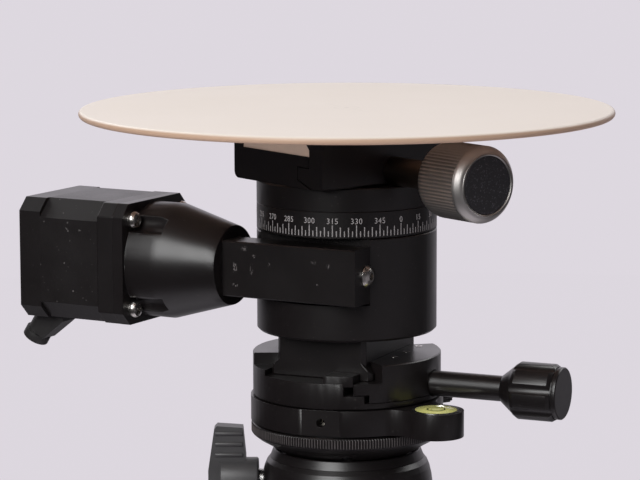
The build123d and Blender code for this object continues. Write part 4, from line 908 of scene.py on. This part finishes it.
class TURNTABLE_OT_stage(bpy.types.Operator):
    """Set the floor, the backdrop, the lamps and the camera"""

    bl_idname = "turntable.stage"
    bl_label = "Stage"

    def execute(self, context):
        scene = context.scene
        studio = scene.turntable.studio
        tone = tuple(studio.backdrop)
        self.world(scene, tone)
        self.floor(scene, tone)
        self.lamps(scene)
        self.camera(scene, studio)
        scene.view_settings.view_transform = "Standard"
        return {"FINISHED"}

    def world(self, scene, tone):
        """Pale for the camera. A gloss sees it dark in front, pale behind the object and straight below, and
        a little lit low on the right."""
        look = Look("Studio", world=True)
        direction = look.node("ShaderNodeTexCoord").outputs["Generated"]
        side, away, up = look.split(look.turned(direction, CAMERA_AZIMUTH))
        path = look.node("ShaderNodeLightPath")
        seen = Value(look, path.outputs["Is Camera Ray"]) + Value(look, path.outputs["Is Transmission Ray"])
        gloss = Value(look, path.outputs["Is Glossy Ray"])
        behind = away.above(0.72, 0.28) * (GLOSS_BEHIND + up.above(0.06, 0.1) * GLOSS_SKY)
        beside = side.above(0.35, 0.35) * away.below(0.1, 0.5) * up.below(0.05, 0.25) * GLOSS_BESIDE
        under = up.below(-0.86, 0.12) * GLOSS_UNDER
        diffuse = (1.0 - seen) * (1.0 - gloss) * DIFFUSE_FILL
        level = seen + gloss * (GLOSS_BASE + behind + beside + under) + diffuse
        shade = look.blend(up.above(0.0, 0.6), tone, scaled(tone, 1.02))
        background = look.node("ShaderNodeBackground", None, {"Color": shade, "Strength": level})
        look.node("ShaderNodeOutputWorld", None, {"Surface": background.outputs[0]})
        scene.world = look.block

    def floor(self, scene, tone):
        """Disc under the object, in rings of growing radius: it takes the shadow near the object and melts
        into the backdrop further out. Glosses and views from below look through it."""
        level = CAD_BOX[0][2] - FLOOR_GAP
        radius = np.array([POLE, *FLOOR_RINGS])
        profile = np.stack([radius, np.full_like(radius, level)], axis=-1)
        mesh = grid_mesh("floor", turned_points(profile[::-1], 96))
        look = Look("Pale floor")
        spot, x, y, z = look.place()
        far = look.step(look.length(x, y), FLOOR_NEAR, FLOOR_FAR)
        path = look.node("ShaderNodeLightPath")
        camera, transmission, glossy = (Value(look, path.outputs[name]) for name in
                                        ("Is Camera Ray", "Is Transmission Ray", "Is Glossy Ray"))
        back = Value(look, look.node("ShaderNodeNewGeometry").outputs["Backfacing"])
        worn = look.blend(look.noise(spot, 40.0, 3.0) * 0.3, tone, scaled(tone, 0.97))
        cloth = look.node("ShaderNodeBsdfDiffuse", None, {"Color": worn})
        light = look.node("ShaderNodeEmission", None, {"Color": tone, "Strength": 1.0})
        clear = look.node("ShaderNodeBsdfTransparent")
        lit = look.node("ShaderNodeMixShader", None, {0: far * look.highest([camera, transmission]),
                                                      1: cloth.outputs[0], 2: light.outputs[0]})
        mixed = look.node("ShaderNodeMixShader", None, {0: look.highest([glossy, back]),
                                                        1: lit.outputs[0], 2: clear.outputs[0]})
        look.node("ShaderNodeOutputMaterial", None, {"Surface": mixed.outputs[0]})
        floor = bpy.data.objects.new("floor", mesh)
        scene.collection.objects.link(floor)
        mesh.materials.append(look.block)

    def lamps(self, scene):
        """The soft boxes, each turned toward the object."""
        target = Vector((0, 0, LAMP_TARGET))
        for name, azimuth, elevation, distance, width, tall, power in SOFT_BOXES:
            data = bpy.data.lights.new(name, "AREA")
            data.shape = "RECTANGLE"
            data.size, data.size_y = width, tall
            data.energy = power
            lamp = bpy.data.objects.new(name, data)
            scene.collection.objects.link(lamp)
            a, e = math.radians(CAMERA_AZIMUTH + azimuth), math.radians(elevation)
            back = Vector((math.sin(a) * math.cos(e), -math.cos(a) * math.cos(e), math.sin(e)))
            lamp.location = target + back * distance
            lamp.rotation_euler = (-back).to_track_quat("-Z", "Y").to_euler()

    def camera(self, scene, studio):
        """Camera on the photograph's line of sight."""
        data = bpy.data.cameras.new("Camera")
        data.lens = studio.lens
        data.sensor_width = 36.0
        data.clip_start, data.clip_end = 0.05, 50.0
        camera = bpy.data.objects.new("Camera", data)
        scene.collection.objects.link(camera)
        camera.location = (studio.distance * math.sin(studio.azimuth),
                           -studio.distance * math.cos(studio.azimuth), studio.height)
        turn = Matrix.Rotation(studio.heading, 4, "Z") @ Matrix.Rotation(math.pi / 2 - studio.pitch, 4, "X")
        turn = turn @ Matrix.Rotation(-studio.roll, 4, "Z")
        camera.rotation_euler = turn.to_euler()
        scene.camera = camera


class TURNTABLE_PT_panel(bpy.types.Panel):
    """Lists the steps of the dressing"""

    bl_idname = "TURNTABLE_PT_panel"
    bl_label = "Turntable"
    bl_space_type = "VIEW_3D"
    bl_region_type = "UI"
    bl_category = "Turntable"

    def draw(self, context):
        settings = context.scene.turntable
        for operator in OPERATORS:
            self.layout.operator(operator.bl_idname)
        for group in (settings.finish, settings.knurl, settings.studio):
            box = self.layout.box()
            for key in group.bl_rna.properties.keys():
                if key not in ("rna_type", "name"):
                    box.prop(group, key)


OPERATORS = (TURNTABLE_OT_machined_parts, TURNTABLE_OT_disc, TURNTABLE_OT_silver_knob, TURNTABLE_OT_scale,
             TURNTABLE_OT_motor, TURNTABLE_OT_hardware, TURNTABLE_OT_level, TURNTABLE_OT_plate_knurl,
             TURNTABLE_OT_column_lock, TURNTABLE_OT_stage)
CLASSES = (FinishProperties, KnurlProperties, StudioProperties, TurntableProperties, *OPERATORS,
           TURNTABLE_PT_panel)


def register():
    for item in CLASSES:
        bpy.utils.register_class(item)
    bpy.types.Scene.turntable = PointerProperty(type=TurntableProperties)


def unregister():
    del bpy.types.Scene.turntable
    for item in reversed(CLASSES):
        bpy.utils.unregister_class(item)


def main():
    register()
    for operator in OPERATORS:
        group, name = operator.bl_idname.split(".")
        getattr(getattr(bpy.ops, group), name)()


if __name__ == "__main__":
    main()
